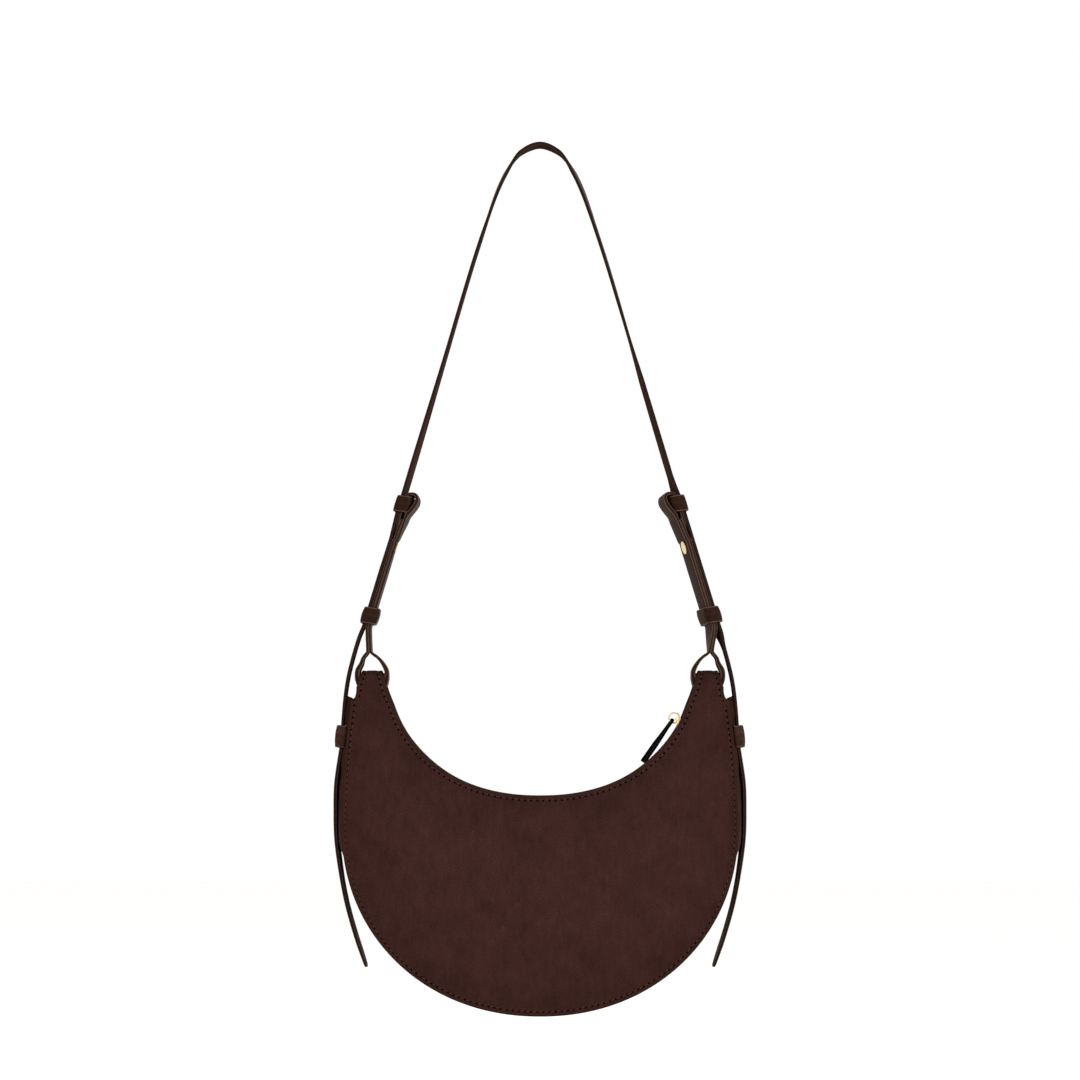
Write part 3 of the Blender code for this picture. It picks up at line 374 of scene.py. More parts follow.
# %% Meshes
def make_mesh(name, points, faces, spots, slots, finishes, angle=40):
    """A mesh object with its finishes, a map in millimetres and smooth shading."""
    mesh = bpy.data.meshes.new(name)
    mesh.from_pydata([tuple(p) for p in points], [], faces)
    layer = mesh.uv_layers.new(name="millimetres")
    layer.data.foreach_set("uv", np.array([uv for face in spots for uv in face], float).ravel())
    for finish in finishes:
        mesh.materials.append(finish)
    mesh.polygons.foreach_set("material_index", slots)
    form = bmesh.new()
    form.from_mesh(mesh)
    bmesh.ops.recalc_face_normals(form, faces=form.faces)
    form.to_mesh(mesh)
    form.free()
    mesh.shade_smooth()
    mesh.set_sharp_from_angle(angle=math.radians(angle))
    piece = bpy.data.objects.new(name, mesh)
    bpy.context.scene.collection.objects.link(piece)
    return piece


def tube_faces(first, count, size, closed=False):
    """Quads between the rings of a tube whose points start at a number."""
    return [(first + a * size + i, first + a * size + (i + 1) % size,
             first + b * size + (i + 1) % size, first + b * size + i)
            for a, b in ring_pairs(count, closed) for i in range(size)]


def ring_pairs(count, closed):
    """Each ring's number with the next one's."""
    return [(k, (k + 1) % count) for k in range(count if closed else count - 1)]


def lengths_along(points):
    """The distance along a line of points to each, in millimetres."""
    return np.concatenate([[0], np.cumsum(np.linalg.norm(np.diff(points, axis=0), axis=1))]) / MM


def lengths_round(ring):
    """The distance round a closed ring to each point and back to the first, in millimetres."""
    ring = np.array(ring)
    return np.concatenate([[0], np.cumsum(np.linalg.norm(np.roll(ring, -1, axis=0) - ring, axis=1))]) / MM


def end_cap(size, fold):
    """Faces that close a ring: one, or where it is long and flat, a row of quads across it."""
    if fold is None:
        return [tuple(range(size))]
    start = (fold + 1) // 2
    pairs = [((start + k) % size, (fold - start - k) % size) for k in range(size // 2)]
    return [(a[0], a[1], b[1], b[0]) for a, b in zip(pairs, pairs[1:])]


def skin(name, rings, finishes, strips=None, across=None, closed=False, fold=None, angle=40):
    """A smooth mesh through rings of points. strips gives each strip's finish, across its place in mm."""
    rings = np.asarray(rings, float)
    count, size = rings.shape[:2]
    faces = tube_faces(0, count, size, closed)
    middles = rings.mean(axis=1)
    along = lengths_along(middles)
    along = np.append(along, along[-1] + np.linalg.norm(middles[0] - middles[-1]) / MM)
    v = lengths_round(rings[count // 2]) if across is None else across
    spots = [((along[a], v[i]), (along[a], v[i + 1]), (along[a + 1], v[i + 1]), (along[a + 1], v[i]))
             for a, _ in ring_pairs(count, closed) for i in range(size)]
    slots = list(strips or [0] * size) * (len(faces) // size)
    if not closed:
        cap = end_cap(size, fold)
        for first in (0, count - 1):
            faces += [tuple(first * size + i for i in face) for face in cap]
            spots += [tuple((rings[first][i][0] / MM, rings[first][i][2] / MM) for i in face) for face in cap]
            slots += [1 if len(finishes) > 1 else 0] * len(cap)
    return make_mesh(name, rings.reshape(-1, 3), faces, spots, slots, finishes, angle)


def settle(piece):
    """Keep what a piece's modifiers make as its own mesh."""
    made = bpy.data.meshes.new_from_object(piece.evaluated_get(bpy.context.evaluated_depsgraph_get()))
    piece.modifiers.clear()
    piece.data = made


def cut(piece, cutters, folded=False):
    """Cut closed forms out of a piece, then remove the cutters. A folded piece may touch itself."""
    for cutter in cutters:
        knife = piece.modifiers.new("cut", "BOOLEAN")
        knife.operation = "DIFFERENCE"
        knife.use_self = folded
        knife.object = cutter
    bpy.context.view_layer.update()
    settle(piece)
    for cutter in cutters:
        bpy.data.objects.remove(cutter, do_unlink=True)


def dress(piece, body, slot, *nodes):
    """Let a piece ride on its body and stand for its solid nodes."""
    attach(piece, body)
    if nodes:
        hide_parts(*nodes)
    return piece


def circle(steps):
    """Even angles once round a circle."""
    return np.linspace(0, 2 * math.pi, steps, endpoint=False)


def squared(angle, power):
    """Cosine and sine drawn out towards a square's corners by a power under one."""
    return [math.copysign(abs(value) ** power, value) for value in (math.cos(angle), math.sin(angle))]


# %% [markdown]
# ## The crescent's outline
#
# The panel is cut on a pattern: a soft crescent whose two horns fold over the leather tunnels that carry
# the strap. Each line across the pattern joins the mouth's edge to the outer edge. Working with pairs of
# edge points keeps every seam of the bag on the same two curves.


# %% Outline
def half_depth(height):
    """Distance of the front face from the middle plane."""
    if height > axis_height:
        rise = min(height - axis_height, horn_radius)
        return max(math.sqrt(horn_radius**2 - rise**2), top_seam_gap)
    share = min((axis_height - height) / pinch_height, 1)
    return horn_radius + (bag_depth / 2 - horn_radius) * share**2 * (3 - 2 * share)


def mouth_point(share):
    """A point on the mouth's edge, from below a horn to the middle."""
    low = (mouth_rise + horn_radius + mouth_start_drop) / mouth_drop
    first = math.asin(low ** (mouth_fullness / 2))
    turn = first + (math.pi / 2 - first) * share
    x = mouth_half_width * max(math.cos(turn), 0) ** (2 / mouth_fullness)
    return x, mouth_centre_height - mouth_drop * math.sin(turn) ** (2 / mouth_fullness)


def rim_x(height):
    """Half width of the outer edge at a height."""
    if height > widest_height:
        return bag_width / 2 * math.sqrt(1 - ((height - widest_height) / side_lean_height) ** 2)
    down = (widest_height - height) / widest_height
    return bag_width / 2 * (1 - down**lower_fullness) ** (1 / lower_fullness)


def rim_point(share):
    """A point on the outer edge, from the shoulder to the lowest point."""
    side_share = 0.30
    if share < side_share:
        top = shoulder_height - shoulder_round
        height = top + (widest_height - top) * share / side_share
        return rim_x(height), height
    turn = math.pi / 2 * (share - side_share) / (1 - side_share)
    x = bag_width / 2 * max(math.cos(turn), 0) ** (2 / lower_fullness)
    return x, widest_height * (1 - math.sin(turn) ** (2 / lower_fullness))


HORN_SIDE, INNER_ROUND, INNER_TALL, SHOULDER_STEPS = 9.9 * MM, 4.2 * MM, 7.2 * MM, 7


def shoulder_line():
    """The outer edge from a horn's side round the shoulder to the rim."""
    side = horn_centre + HORN_SIDE
    corner_round = shoulder_x - side - INNER_ROUND
    turns = np.linspace(0, math.pi / 2, SHOULDER_STEPS)
    line = [(side + INNER_ROUND * (1 - math.cos(a)), shoulder_height + INNER_TALL * (1 - math.sin(a)))
            for a in turns]
    return line + [(shoulder_x - corner_round * (1 - math.sin(a)),
                    shoulder_height - shoulder_round * (1 - math.cos(a))) for a in turns]


def hermite(first, last, first_slope, last_slope, u):
    """A point on a smooth curve between two places with given slopes."""
    return (first * (2 * u**3 - 3 * u**2 + 1) + first_slope * (u**3 - 2 * u**2 + u)
            + last * (3 * u**2 - 2 * u**3) + last_slope * (u**3 - u**2))


CAP_ROWS, NECK_ROWS, CRESCENT_ROWS = 14, 4, 100


def outline_pairs():
    """Pairs of edge points from a horn's top to the middle."""
    pairs = []
    top = math.acos(top_seam_gap / horn_radius)
    for k in range(CAP_ROWS + 1):
        rise = math.sin(top * (1 - k / CAP_ROWS))
        half = HORN_SIDE - (HORN_SIDE - horn_tip_half_width) * rise
        height = axis_height + horn_radius * rise
        pairs.append(((horn_centre - half, height), (horn_centre + half, height)))
    shoulder = shoulder_line()
    neck_low = shoulder[0][1]
    outer = [(horn_centre + HORN_SIDE, axis_height + (neck_low - axis_height) * k / NECK_ROWS)
             for k in range(1, NECK_ROWS)] + shoulder
    start, end = np.array([horn_centre - HORN_SIDE, axis_height]), np.array(mouth_point(0))
    size = np.linalg.norm(end - start)
    start_slope = np.array([horn_tip_half_width - HORN_SIDE, -horn_radius])
    end_slope = np.array(mouth_point(0.02)) - end
    start_slope, end_slope = (slope / np.linalg.norm(slope) * size for slope in (start_slope, end_slope))
    for k, spot in enumerate(outer, 1):
        pairs.append((tuple(hermite(start, end, start_slope, end_slope, k / len(outer))), spot))
    return pairs + crescent[1:]


def both_halves(half):
    """Pairs over the whole bag, right horn to left horn."""
    return half + [((-a[0], a[1]), (-b[0], b[1])) for a, b in reversed(half[:-1])]


crescent = [(mouth_point(k / CRESCENT_ROWS), rim_point(k / CRESCENT_ROWS)) for k in range(CRESCENT_ROWS + 1)]
pattern = both_halves(outline_pairs())
mouth_edge = np.array([pair[0] for pair in pattern])
outer_edge = np.array([pair[1] for pair in pattern])
print("pattern rows", len(pattern), "width", round(np.ptp(outer_edge[:, 0]), 4))

# %% [markdown]
# ## Suede panels
#
# A suede panel isn't a plate. The seams pull its border flat, and inside them it crowns outwards and sags a
# little over the filled lower half. So the front face is a grid across the pattern: its depth follows the
# solid model, plus a crown that grows with the distance from the nearest edge, plus a faint unevenness of
# the hide. A shallow groove runs where the stitches pull. The edge is rounded and painted.

# %% Panels
NEAR_COLUMNS = np.array([0, 0.35, 0.8, 1.4, 2.0, 2.6, 3.2, 4.0, 5.2, 6.4]) * MM
MIDDLE_COLUMNS, PRESSED_STRIPS, EDGE_STEPS = 13, 4, 4
STITCH_INSET, GROOVE_DEEP, GROOVE_WIDE = 2.6 * MM, 0.30 * MM, 0.75 * MM
CROWN, CROWN_FROM, CROWN_REACH = 3.0 * MM, 6 * MM, 20 * MM
FLATTER, FLATTER_FROM, FLATTER_OVER = 0.35, 100 * MM, 80 * MM
UNEVEN, UNEVEN_FROM, UNEVEN_REACH, SWELLS, DIMPLES = 0.28 * MM, 5 * MM, 12 * MM, 22, 60


def columns_across(inner, outer, edge_inset):
    """Places across the pattern, close together near both edges."""
    inner, outer = np.array(inner), np.array(outer)
    width = np.linalg.norm(outer - inner)
    way = (outer - inner) / width
    near = edge_inset + NEAR_COLUMNS * min(1, (width / 2 - edge_inset) / (NEAR_COLUMNS[-1] * 1.05))
    middle = np.linspace(near[-1], width - near[-1], MIDDLE_COLUMNS + 2)[1:-1]
    along = np.concatenate([near, middle, (width - near)[::-1]])
    return inner + along[:, None] * way


def distance_to(line, spots):
    """Shortest distance from each spot to a line of points."""
    a, b = line[:-1], line[1:]
    way = b - a
    size = np.maximum((way**2).sum(1), 1e-12)
    share = np.clip(((spots[:, None] - a) * way).sum(2) / size, 0, 1)
    return np.linalg.norm(spots[:, None] - a - share[..., None] * way, axis=2).min(1)


def edge_distance(spots):
    """Distance of flat places from the pattern's nearest edge."""
    return np.minimum(distance_to(mouth_edge, spots), distance_to(outer_edge, spots))


def grid_normals(grid, way):
    """Unit normals of a grid of points, on the side that a way points to."""
    normals = np.cross(np.gradient(grid, axis=0), np.gradient(grid, axis=1))
    normals /= np.maximum(np.linalg.norm(normals, axis=2, keepdims=True), 1e-12)
    return normals * np.sign((normals * way).sum())


def panel_face(sign):
    """The outer face of a panel, on the front (-1) or the back (1), and its outward normals."""
    flat = np.array([columns_across(inner, outer, panel_thick / 2) for inner, outer in pattern])
    spots = flat.reshape(-1, 2)
    edge = edge_distance(spots)
    depth = np.array([half_depth(h) for h in spots[:, 1]])
    grid = np.stack([spots[:, 0], sign * depth, bottom_z + spots[:, 1]], axis=1).reshape(*flat.shape[:2], 3)
    normals = grid_normals(grid, (0, sign, 0))
    full = CROWN * (1 - np.exp(-np.maximum(edge - CROWN_FROM, 0) / CROWN_REACH))
    full *= 1 - FLATTER * np.clip((spots[:, 1] - FLATTER_FROM) / FLATTER_OVER, 0, 1)
    groove = -GROOVE_DEEP * np.exp(-((edge - STITCH_INSET) / GROOVE_WIDE) ** 2)
    hide = np.array([noise.noise(Vector((x * SWELLS, h * SWELLS, 3.0 * sign)))
                     + 0.4 * noise.noise(Vector((x * DIMPLES, h * DIMPLES, sign))) for x, h in spots])
    hide *= UNEVEN * (1 - np.exp(-np.maximum(edge - UNEVEN_FROM, 0) / UNEVEN_REACH))
    return grid + normals * (full + groove + hide).reshape(*flat.shape[:2], 1), normals


def shell_rings(face, normals, thick):
    """Rings round a sheet: outer face, rounded edge, inner face, rounded edge."""
    rings = []
    for front, rear in zip(face, face - normals * thick):
        arcs = []
        for end, here, there in ((front[-1] - front[-2], front[-1], rear[-1]),
                                 (front[0] - front[1], rear[0], front[0])):
            way = end / np.linalg.norm(end) * thick / 2
            arcs.append([(here + there) / 2 + (here - there) / 2 * math.cos(a) + way * math.sin(a)
                         for a in np.linspace(0, math.pi, EDGE_STEPS + 2)[1:-1]])
        rings.append([*front, *arcs[0], *rear[::-1], *arcs[1]])
    return np.array(rings)


def sheet_skin(name, face, normals, thick, finishes, pressed=0):
    """A sheet from its outer face. Its finishes are for faces, edges and strips pressed at the outer edge."""
    columns = face.shape[1]
    edge = [1] * (EDGE_STEPS + 1)
    strips = [0] * (columns - 1 - pressed) + [2] * pressed + edge + [0] * (columns - 1) + edge
    strips = strips if len(finishes) > 1 else None
    return skin(name, shell_rings(face, normals, thick), finishes, strips, fold=2 * columns + EDGE_STEPS - 1)


def map_panel(piece):
    """Map a panel by its own width and height, and mark how near each point is to an edge for painted shade.
    """
    spots = np.array([point.co[:] for point in piece.data.vertices])[:, [0, 2]]
    corners = [loop.vertex_index for loop in piece.data.loops]
    piece.data.uv_layers["millimetres"].data.foreach_set("uv", (spots[corners] / MM).ravel())
    share = 1 - np.exp(-edge_distance(spots - np.array([0, bottom_z])) / (SHADE_REACH / 2))
    piece.data.attributes.new("from_edge", "FLOAT", "POINT").data.foreach_set("value", share)


panel_faces = {}
for word, sign in FACES:
    face, normals = panel_face(sign)
    panel_faces[word] = face
    panel = sheet_skin(f"{word}_panel_suede", face, normals, panel_thick, [suede, rim_paint, pressed_suede],
                       PRESSED_STRIPS)
    map_panel(panel)
    dress(panel, "bag", "suede", f"{word}_panel")
    print(word, "panel, deepest", round(abs(face[..., 1]).max() / MM, 1), "mm")

# %% [markdown]
# ## Stitches
#
# A lockstitch shows as a row of short raised threads with a needle hole at each end. Each stitch is its own
# small bowed tube that dips into the leather; a lens of painted shade marks each hole. A whole seam is one
# mesh.
# The needle goes in a little slanted, which is what makes saddlery stitching look like a row of slashes.

# %% Stitch maker
STITCH_PITCH, STITCH_LONG, THREAD_RADIUS, SLANT = 3.9 * MM, 2.6 * MM, 0.25 * MM, math.radians(14)
THREAD_SIDES, THREAD_STATIONS = 6, (-1, -0.82, -0.45, 0, 0.45, 0.82, 1)
HOLE_LONG, HOLE_WIDE, HOLE_STEPS = 4.0, 3.3, 8


def resample(line, step):
    """Points an even step apart along a line, with the direction at each."""
    line = np.asarray(line, float)
    lengths = lengths_along(line) * MM
    count = max(1, round(lengths[-1] / step))
    at = (np.arange(count) + 0.5) * lengths[-1] / count
    spots, ahead, behind = (np.stack([np.interp(at + shift, lengths, line[:, i]) for i in range(3)], axis=1)
                            for shift in (0, step * 0.2, -step * 0.2))
    ways = ahead - behind
    return spots, ways / np.linalg.norm(ways, axis=1, keepdims=True)


def add_tube(form, rings, slot, patches):
    """Add a closed tube to a form of points, faces, map places and slots. Each side face has a patch."""
    points, faces, spots, slots = form
    first, count, size = len(points), len(rings), len(rings[0])
    points += [point for ring in rings for point in ring]
    faces += tube_faces(first, count, size)
    faces += [tuple(first + end * size + i for i in range(size)) for end in (0, count - 1)]
    spots += patches + [((0, 0),) * size] * 2
    slots += [slot] * (len(patches) + 2)


def sew(name, lines, outs, body, slot, finish=thread, pitch=STITCH_PITCH, long=STITCH_LONG,
        radius=THREAD_RADIUS, slant=SLANT):
    """Rows of stitches along lines on a surface. outs gives the way out of it at each line's points."""
    form = [], [], [], []
    u, v = [s * long / 2 / MM for s in THREAD_STATIONS], 0.28 * np.arange(THREAD_SIDES + 1)
    patches = [((a, c), (a, d), (b, d), (b, c)) for a, b in zip(u, u[1:]) for c, d in zip(v, v[1:])]
    hole_patches = [((0, 0), (0.3, 0), (0.3, 0.3), (0, 0.3))] * (2 * HOLE_STEPS)
    for line, out_line in zip(lines, outs):
        centres, ways = resample(line, pitch)
        out_at, _ = resample(np.asarray(line) + np.asarray(out_line) * MM, pitch)
        if len(out_at) != len(centres):
            out_at = centres + np.asarray(out_line)[len(out_line) // 2] * MM
        for centre, way, out_spot in zip(centres, ways, out_at):
            out = out_spot - centre
            out = out - way * (out @ way)
            out /= np.linalg.norm(out)
            way = way * math.cos(slant) + np.cross(out, way) * math.sin(slant)
            side = np.cross(out, way)
            rings = [[centre + way * s * long / 2 + out * radius * (1.15 - 2.6 * abs(s) ** 3)
                      + (side * math.cos(a) + out * math.sin(a)) * radius * (1 - 0.35 * abs(s) ** 4)
                      for a in circle(THREAD_SIDES)] for s in THREAD_STATIONS]
            add_tube(form, rings, 0, patches)
            # A near-black lens at the needle hole: painted shade
            hole = centre + way * (long / 2 + radius * 1.6)
            long_way, wide_way = way * radius * HOLE_LONG / 2, side * radius * HOLE_WIDE / 2
            rings = [[hole + (long_way * math.cos(a) + wide_way * math.sin(a)) * size + out * radius * lift
                      for a in circle(HOLE_STEPS)] for lift, size in ((-0.6, 0.5), (0.1, 1.6), (0.45, 1.0))]
            add_tube(form, rings, 1, hole_patches)
    return dress(make_mesh(name, *form, [finish, hole_shade], 80), body, slot)


# %% Seams of the panels
def seam_on_panel(face, column, sign):
    """A line down one column of a panel's face, and the way out of it."""
    line = face[:, column]
    outs = np.cross(np.gradient(line, axis=0), face[:, column + 1] - face[:, column - 1])
    outs /= np.linalg.norm(outs, axis=1, keepdims=True) * np.sign((outs[:, 1] * sign).sum())
    return line[3:-3], outs[3:-3]


for word, sign in FACES:
    face = panel_faces[word]
    seams = [seam_on_panel(face, column, sign) for column in (5, face.shape[1] - 6)]
    sewn = sew(f"{word}_panel_stitches", *zip(*seams), "bag", "suede")
    print(word, "stitches", len(sewn.data.polygons) // 60)

# %% [markdown]
# ## The leather wall
#
# One long strip of smooth leather runs from shoulder to shoulder round the sides and bottom. Its edges turn
# in under both panels and are sewn through them. The turned corner is a soft fold and not a crease, and
# between the seams the strip draws in slightly.

# %% Gusset
FOLD_ROUND, HALF_STEPS = 0.9 * MM, 12
# The bulge above the side keeper, and below it, close to the hanging end: (heights), (millimetres)
BULGE_ABOVE, BULGE_BELOW = 2.2 * MM, ((0.148, 0.156, 0.1671), (3.2, 3.0, 2.2))
BULGE_FROM, BULGE_OVER, PRESSED_HALF, PRESSED_SHARP = 97 * MM, 18 * MM, 6.4 * MM, 40
WALL_SAG, SAG_UNTIL, SAG_OVER = 0.5 * MM, 60 * MM, 30 * MM
# The channel that the hanging end presses into the bulge, with a roll on each side
CHANNEL, CHANNEL_HALF, CHANNEL_EDGE, CHANNEL_TOP, CHANNEL_FADE = 0.68, 12.5 * MM, 3 * MM, 162 * MM, 8 * MM
ROLL_SHARE = 0.35
# The wall's top beside a horn: further out from a height on, and raised over its last rows
TOP_OUT, TOP_FROM, TOP_OVER = 1.1 * MM, 186 * MM, 10 * MM
TOP_RISE, TOP_ROWS, TOP_FADE, END_ROWS, TOP_STEPS = 1.3 * MM, 18, 10, 3, 6


def ease(share):
    """A share from 0 to 1 with a soft start and end."""
    share = min(max(share, 0), 1)
    return share**2 * (3 - 2 * share)


def wall_swell(height):
    """How far the wall bulges at a height: out beside the horns, pressed flat under a side keeper."""
    out = ease((height - BULGE_FROM) / BULGE_OVER)
    pressed = math.exp(-((height - side_keeper_above_bottom) / PRESSED_HALF) ** PRESSED_SHARP)
    sag = WALL_SAG * (1 - ease((height - SAG_UNTIL) / SAG_OVER))
    bulge = BULGE_ABOVE if height > side_keeper_above_bottom else np.interp(height, *BULGE_BELOW) * MM
    return bulge * out * (1 - pressed) - sag


def wall_profile(height, share, y):
    """The share of the bulge across the wall: a roll on each side of the channel that the strap presses."""
    round_in = math.sin(math.pi / 2 * min(share / ROLL_SHARE, 1))
    pressed = ease((CHANNEL_HALF - y) / CHANNEL_EDGE) * ease((CHANNEL_TOP - height) / CHANNEL_FADE)
    return round_in * (1 - CHANNEL * pressed)


def step_along(inner, outer, distance):
    """A point at a distance from the first of two points towards the second."""
    share = distance / math.hypot(outer[0] - inner[0], outer[1] - inner[1])
    return inner[0] + (outer[0] - inner[0]) * share, inner[1] + (outer[1] - inner[1]) * share


def wall_pairs():
    """Each flange tip of the wall with its corner, from beside a horn to the lowest point."""
    line = shoulder_line()[SHOULDER_STEPS:]
    start, low, step = horn_centre + horn_half_width, shoulder_height - shoulder_flange, 0.1 * MM
    line = [(x, shoulder_height) for x in np.linspace(start, line[0][0], TOP_STEPS)[:-1]] + line
    pairs = [((start + k * step, low - k * step), corner) for k, corner in enumerate(line)]
    pairs += [(step_along(outer, inner, seam_flange), outer) for inner, outer in crescent[1:]]
    return both_halves(pairs)


def wall_face():
    """The outer side of the wall across its width, flange to flange."""
    rows, pairs = [], wall_pairs()
    for place_in, (tip, corner) in enumerate(pairs):
        from_end = min(place_in, len(pairs) - 1 - place_in)
        opened = ease(from_end / END_ROWS)
        raised = TOP_RISE * opened * ease((TOP_ROWS - from_end) / TOP_FADE)
        depth_tip, depth = half_depth(tip[1]) - under_panel, half_depth(corner[1]) - under_panel
        inward = np.array([tip[0] - corner[0], tip[1] - corner[1]])
        inward /= np.linalg.norm(inward)
        row = [(*tip, depth_tip), (*(np.array(corner) + inward * FOLD_ROUND * 1.5), depth)]
        for a in np.linspace(0, math.pi / 2, 4):
            shift = inward * FOLD_ROUND * (1 - math.sin(a))
            row.append((corner[0] + shift[0], corner[1] + shift[1], depth - FOLD_ROUND * (1 - math.cos(a))))
        top_out = math.copysign(TOP_OUT * ease((corner[1] - TOP_FROM) / TOP_OVER) * opened, corner[0])
        move = np.array([top_out, raised]) - inward * wall_swell(corner[1]) * opened
        for k in range(1, HALF_STEPS + 1):
            y = (depth - FOLD_ROUND) * (1 - k / HALF_STEPS)
            row.append((*(np.array(corner) + move * wall_profile(corner[1], k / HALF_STEPS, y)), y))
        front = [np.array([x, -y, bottom_z + h]) for x, h, y in row]
        rows.append(front + [p * np.array([1, -1, 1]) for p in front[-2::-1]])
    return np.array(rows)


face = wall_face()
wall = sheet_skin("outer_gusset_leather", face, grid_normals(face, face - bag_middle), gusset_thick,
                  [wall_leather, rim_paint])
dress(wall, "bag", "gusset_leather", "outer_gusset")
print("wall", len(wall.data.vertices), "points")

# %% [markdown]
# ## Zip strips and lining
#
# Beside the zip lie two leather strips, folded over the panels' edge allowance and stitched down on the
# tape. Under them hangs the twill lining, cut a little smaller than the bag and falling in soft folds.

# %% Strips beside the zip
STRIP_STEPS, STRIP_PUFF = 7, 0.35 * MM


def zip_point(turn, rise, y):
    """A point by its angle round the zip, its height over the strips' edges and its depth."""
    radius = zip_radius - rise
    return np.array([radius * math.cos(turn), y, bottom_z + zip_centre_height - radius * math.sin(turn)])


def with_mirrored(rows):
    """Rows of points on the right half with the same rows on the left half."""
    half = np.array(rows)
    return np.concatenate([half, half[-2::-1] * np.array([-1, 1, 1])])


def strip_face():
    """The upper side of the front strip from the flange under the panel to the zip."""
    rows = []
    for inner, outer in crescent:
        tip = step_along(inner, outer, seam_flange)
        turn = math.atan2(zip_centre_height - inner[1], inner[0])
        deep, deep_tip = half_depth(inner[1]) - under_panel, half_depth(tip[1]) - under_panel
        down = np.array([tip[0] - inner[0], 0, tip[1] - inner[1]])
        down /= np.linalg.norm(down)
        corner = np.array([inner[0], -deep, bottom_z + inner[1]])
        end = zip_point(turn, 0, -zip_half_gap)
        across = end - corner
        size = np.linalg.norm(across)
        row = [np.array([tip[0], -deep_tip, bottom_z + tip[1]]), corner + down * FOLD_ROUND * 1.6]
        for a in np.linspace(0, 1, 4):
            row.append(corner + down * FOLD_ROUND * (1 - a) ** 2 + across / size * FOLD_ROUND * a**2)
        for share in np.linspace(0, 1, STRIP_STEPS + 1)[1:]:
            spot = corner + across * (FOLD_ROUND / size + (1 - FOLD_ROUND / size) * share)
            row.append(spot - down * math.sin(math.pi * share) * STRIP_PUFF)
        rows.append(row)
    return with_mirrored(rows)


strip_front = strip_face()
strip_normals = grid_normals(strip_front, (0, 0, 1))
for word, sign in FACES:
    face, normals = strip_front * np.array([1, -sign, 1]), strip_normals * np.array([1, -sign, 1])
    strip = sheet_skin(f"zip_strip_{word}_leather", face, normals, gusset_thick, [wall_leather, rim_paint])
    dress(strip, "bag", "gusset_leather", f"zip_strip_{word}")
    line = face[2:-2, -2] + normals[2:-2, -2] * 0.05 * MM
    sew(f"zip_strip_{word}_stitches", [line], [normals[2:-2, -2]], "bag", "gusset_leather", pitch=3.2 * MM,
        long=2.3 * MM, radius=0.2 * MM, slant=0)
    print("strip", word, len(strip.data.vertices), "points")


# %% Lining
LINING_DOWN, LINING_IN, LINING_ROOM, DRAPE, DRAPES = 9 * MM, 4 * MM, 1.8 * MM, 0.5 * MM, 330


def lining_face():
    """The lining from the front of the mouth down, under and up to the back, with soft upright folds."""
    deep = under_panel + gusset_thick + LINING_ROOM
    rows = []
    for inner, outer in crescent[::2]:
        near, far = step_along(inner, outer, LINING_DOWN), step_along(outer, inner, LINING_IN)
        row = []
        for share in np.linspace(0, 1, 12):
            x, h = near[0] + (far[0] - near[0]) * share, near[1] + (far[1] - near[1]) * share
            folds = DRAPE * math.sin(x * DRAPES + 2 * share) * math.sin(math.pi * share)
            row.append(np.array([x, -(half_depth(h) - deep) + abs(folds), bottom_z + h]))
        rows.append(row + [p * np.array([1, -1, 1]) for p in reversed(row)])
    return with_mirrored(rows)


face = lining_face()
lining = sheet_skin("lining_twill", face, grid_normals(face, face - bag_middle), lining_thick, [lining_cloth])
dress(lining, "bag", "lining_cloth", "lining")
print("lining", len(lining.data.vertices), "points")

# %% [markdown]
# ## The zip
#
# A metal zip of size five: woven tapes with a corded edge, brass teeth pressed on the cord so that the two
# rows lock half a pitch apart, stops at both ends and a cast slider with a ring for its leather pull. The
# teeth are drawn at their real pitch of 2.8 mm.

# %% Tapes and teeth
TOOTH_PITCH, TOOTH_LONG, FIRST_TOOTH, STOP_APART, TAPE_ROWS = 2.8 * MM, 1.2 * MM, 3.6 * MM, 0.6 * MM, 160
tape_top = [(tape_reach, 0.5), (tape_edge, 0.5), (0.0024, 0.55), (0.0021, 1.0), (0.0016, 1.15), (0.0012, 0.8)]
tape_section = tape_top + [(y, -rise) for y, rise in reversed(tape_top)]
tooth_section = [(0.0026, 0.75, 0.35), (0.0024, 1.0, 0.5), (0.0012, 1.0, 0.5), (0.0008, 0.86, 0.5),
                 (0.0002, 0.66, 0.46), (-0.0003, 0.55, 0.46), (-0.0006, 0.42, 0.36)]
corner_turns = [(1, 0.55), (0.7, 1), (-0.7, 1), (-1, 0.55), (-1, -0.55), (-0.7, -1), (0.7, -1), (1, -0.55)]


def build_tape(word, sign):
    """A tape with its corded edge."""
    rings = [[zip_point(turn, zip_middle + rise * tape_thick, sign * y) for y, rise in tape_section]
             for turn in np.linspace(zip_start, math.pi - zip_start, TAPE_ROWS)]
    tape = skin(f"zip_tape_{word}_cloth", rings, [tape_cloth], fold=len(tape_section) - 1)
    dress(tape, "bag", "zip_tape_cloth", f"zip_tape_{word}")


def build_teeth(word, sign):
    """A row of teeth, each a small cast form clamped on the cord."""
    form = [], [], [], []
    patches = [((0, 0),) * 4] * (len(corner_turns) * (len(tooth_section) - 1))
    pitch, half = TOOTH_PITCH / zip_radius, TOOTH_LONG / zip_radius
    first = zip_start + (stop_length + FIRST_TOOTH) / zip_radius + half / 2
    last = math.pi - zip_start - (stop_length + touch_gap) / zip_radius - half / 2
    count = int((last - first) / pitch - 0.5) + 1
    for k in range(count):
        turn = first + (k + (0.5 if sign > 0 else 0)) * pitch
        rings = [[zip_point(turn + along * reach * half, zip_middle + high * rise * tooth_high, sign * y)
                  for along, high in corner_turns] for y, rise, reach in tooth_section]
        add_tube(form, rings, 0, patches)
    print("teeth", word, count)
    dress(make_mesh(f"zip_teeth_{word}_metal", *form, [gold], 50), "bag", "gold_metal", f"zip_teeth_{word}")


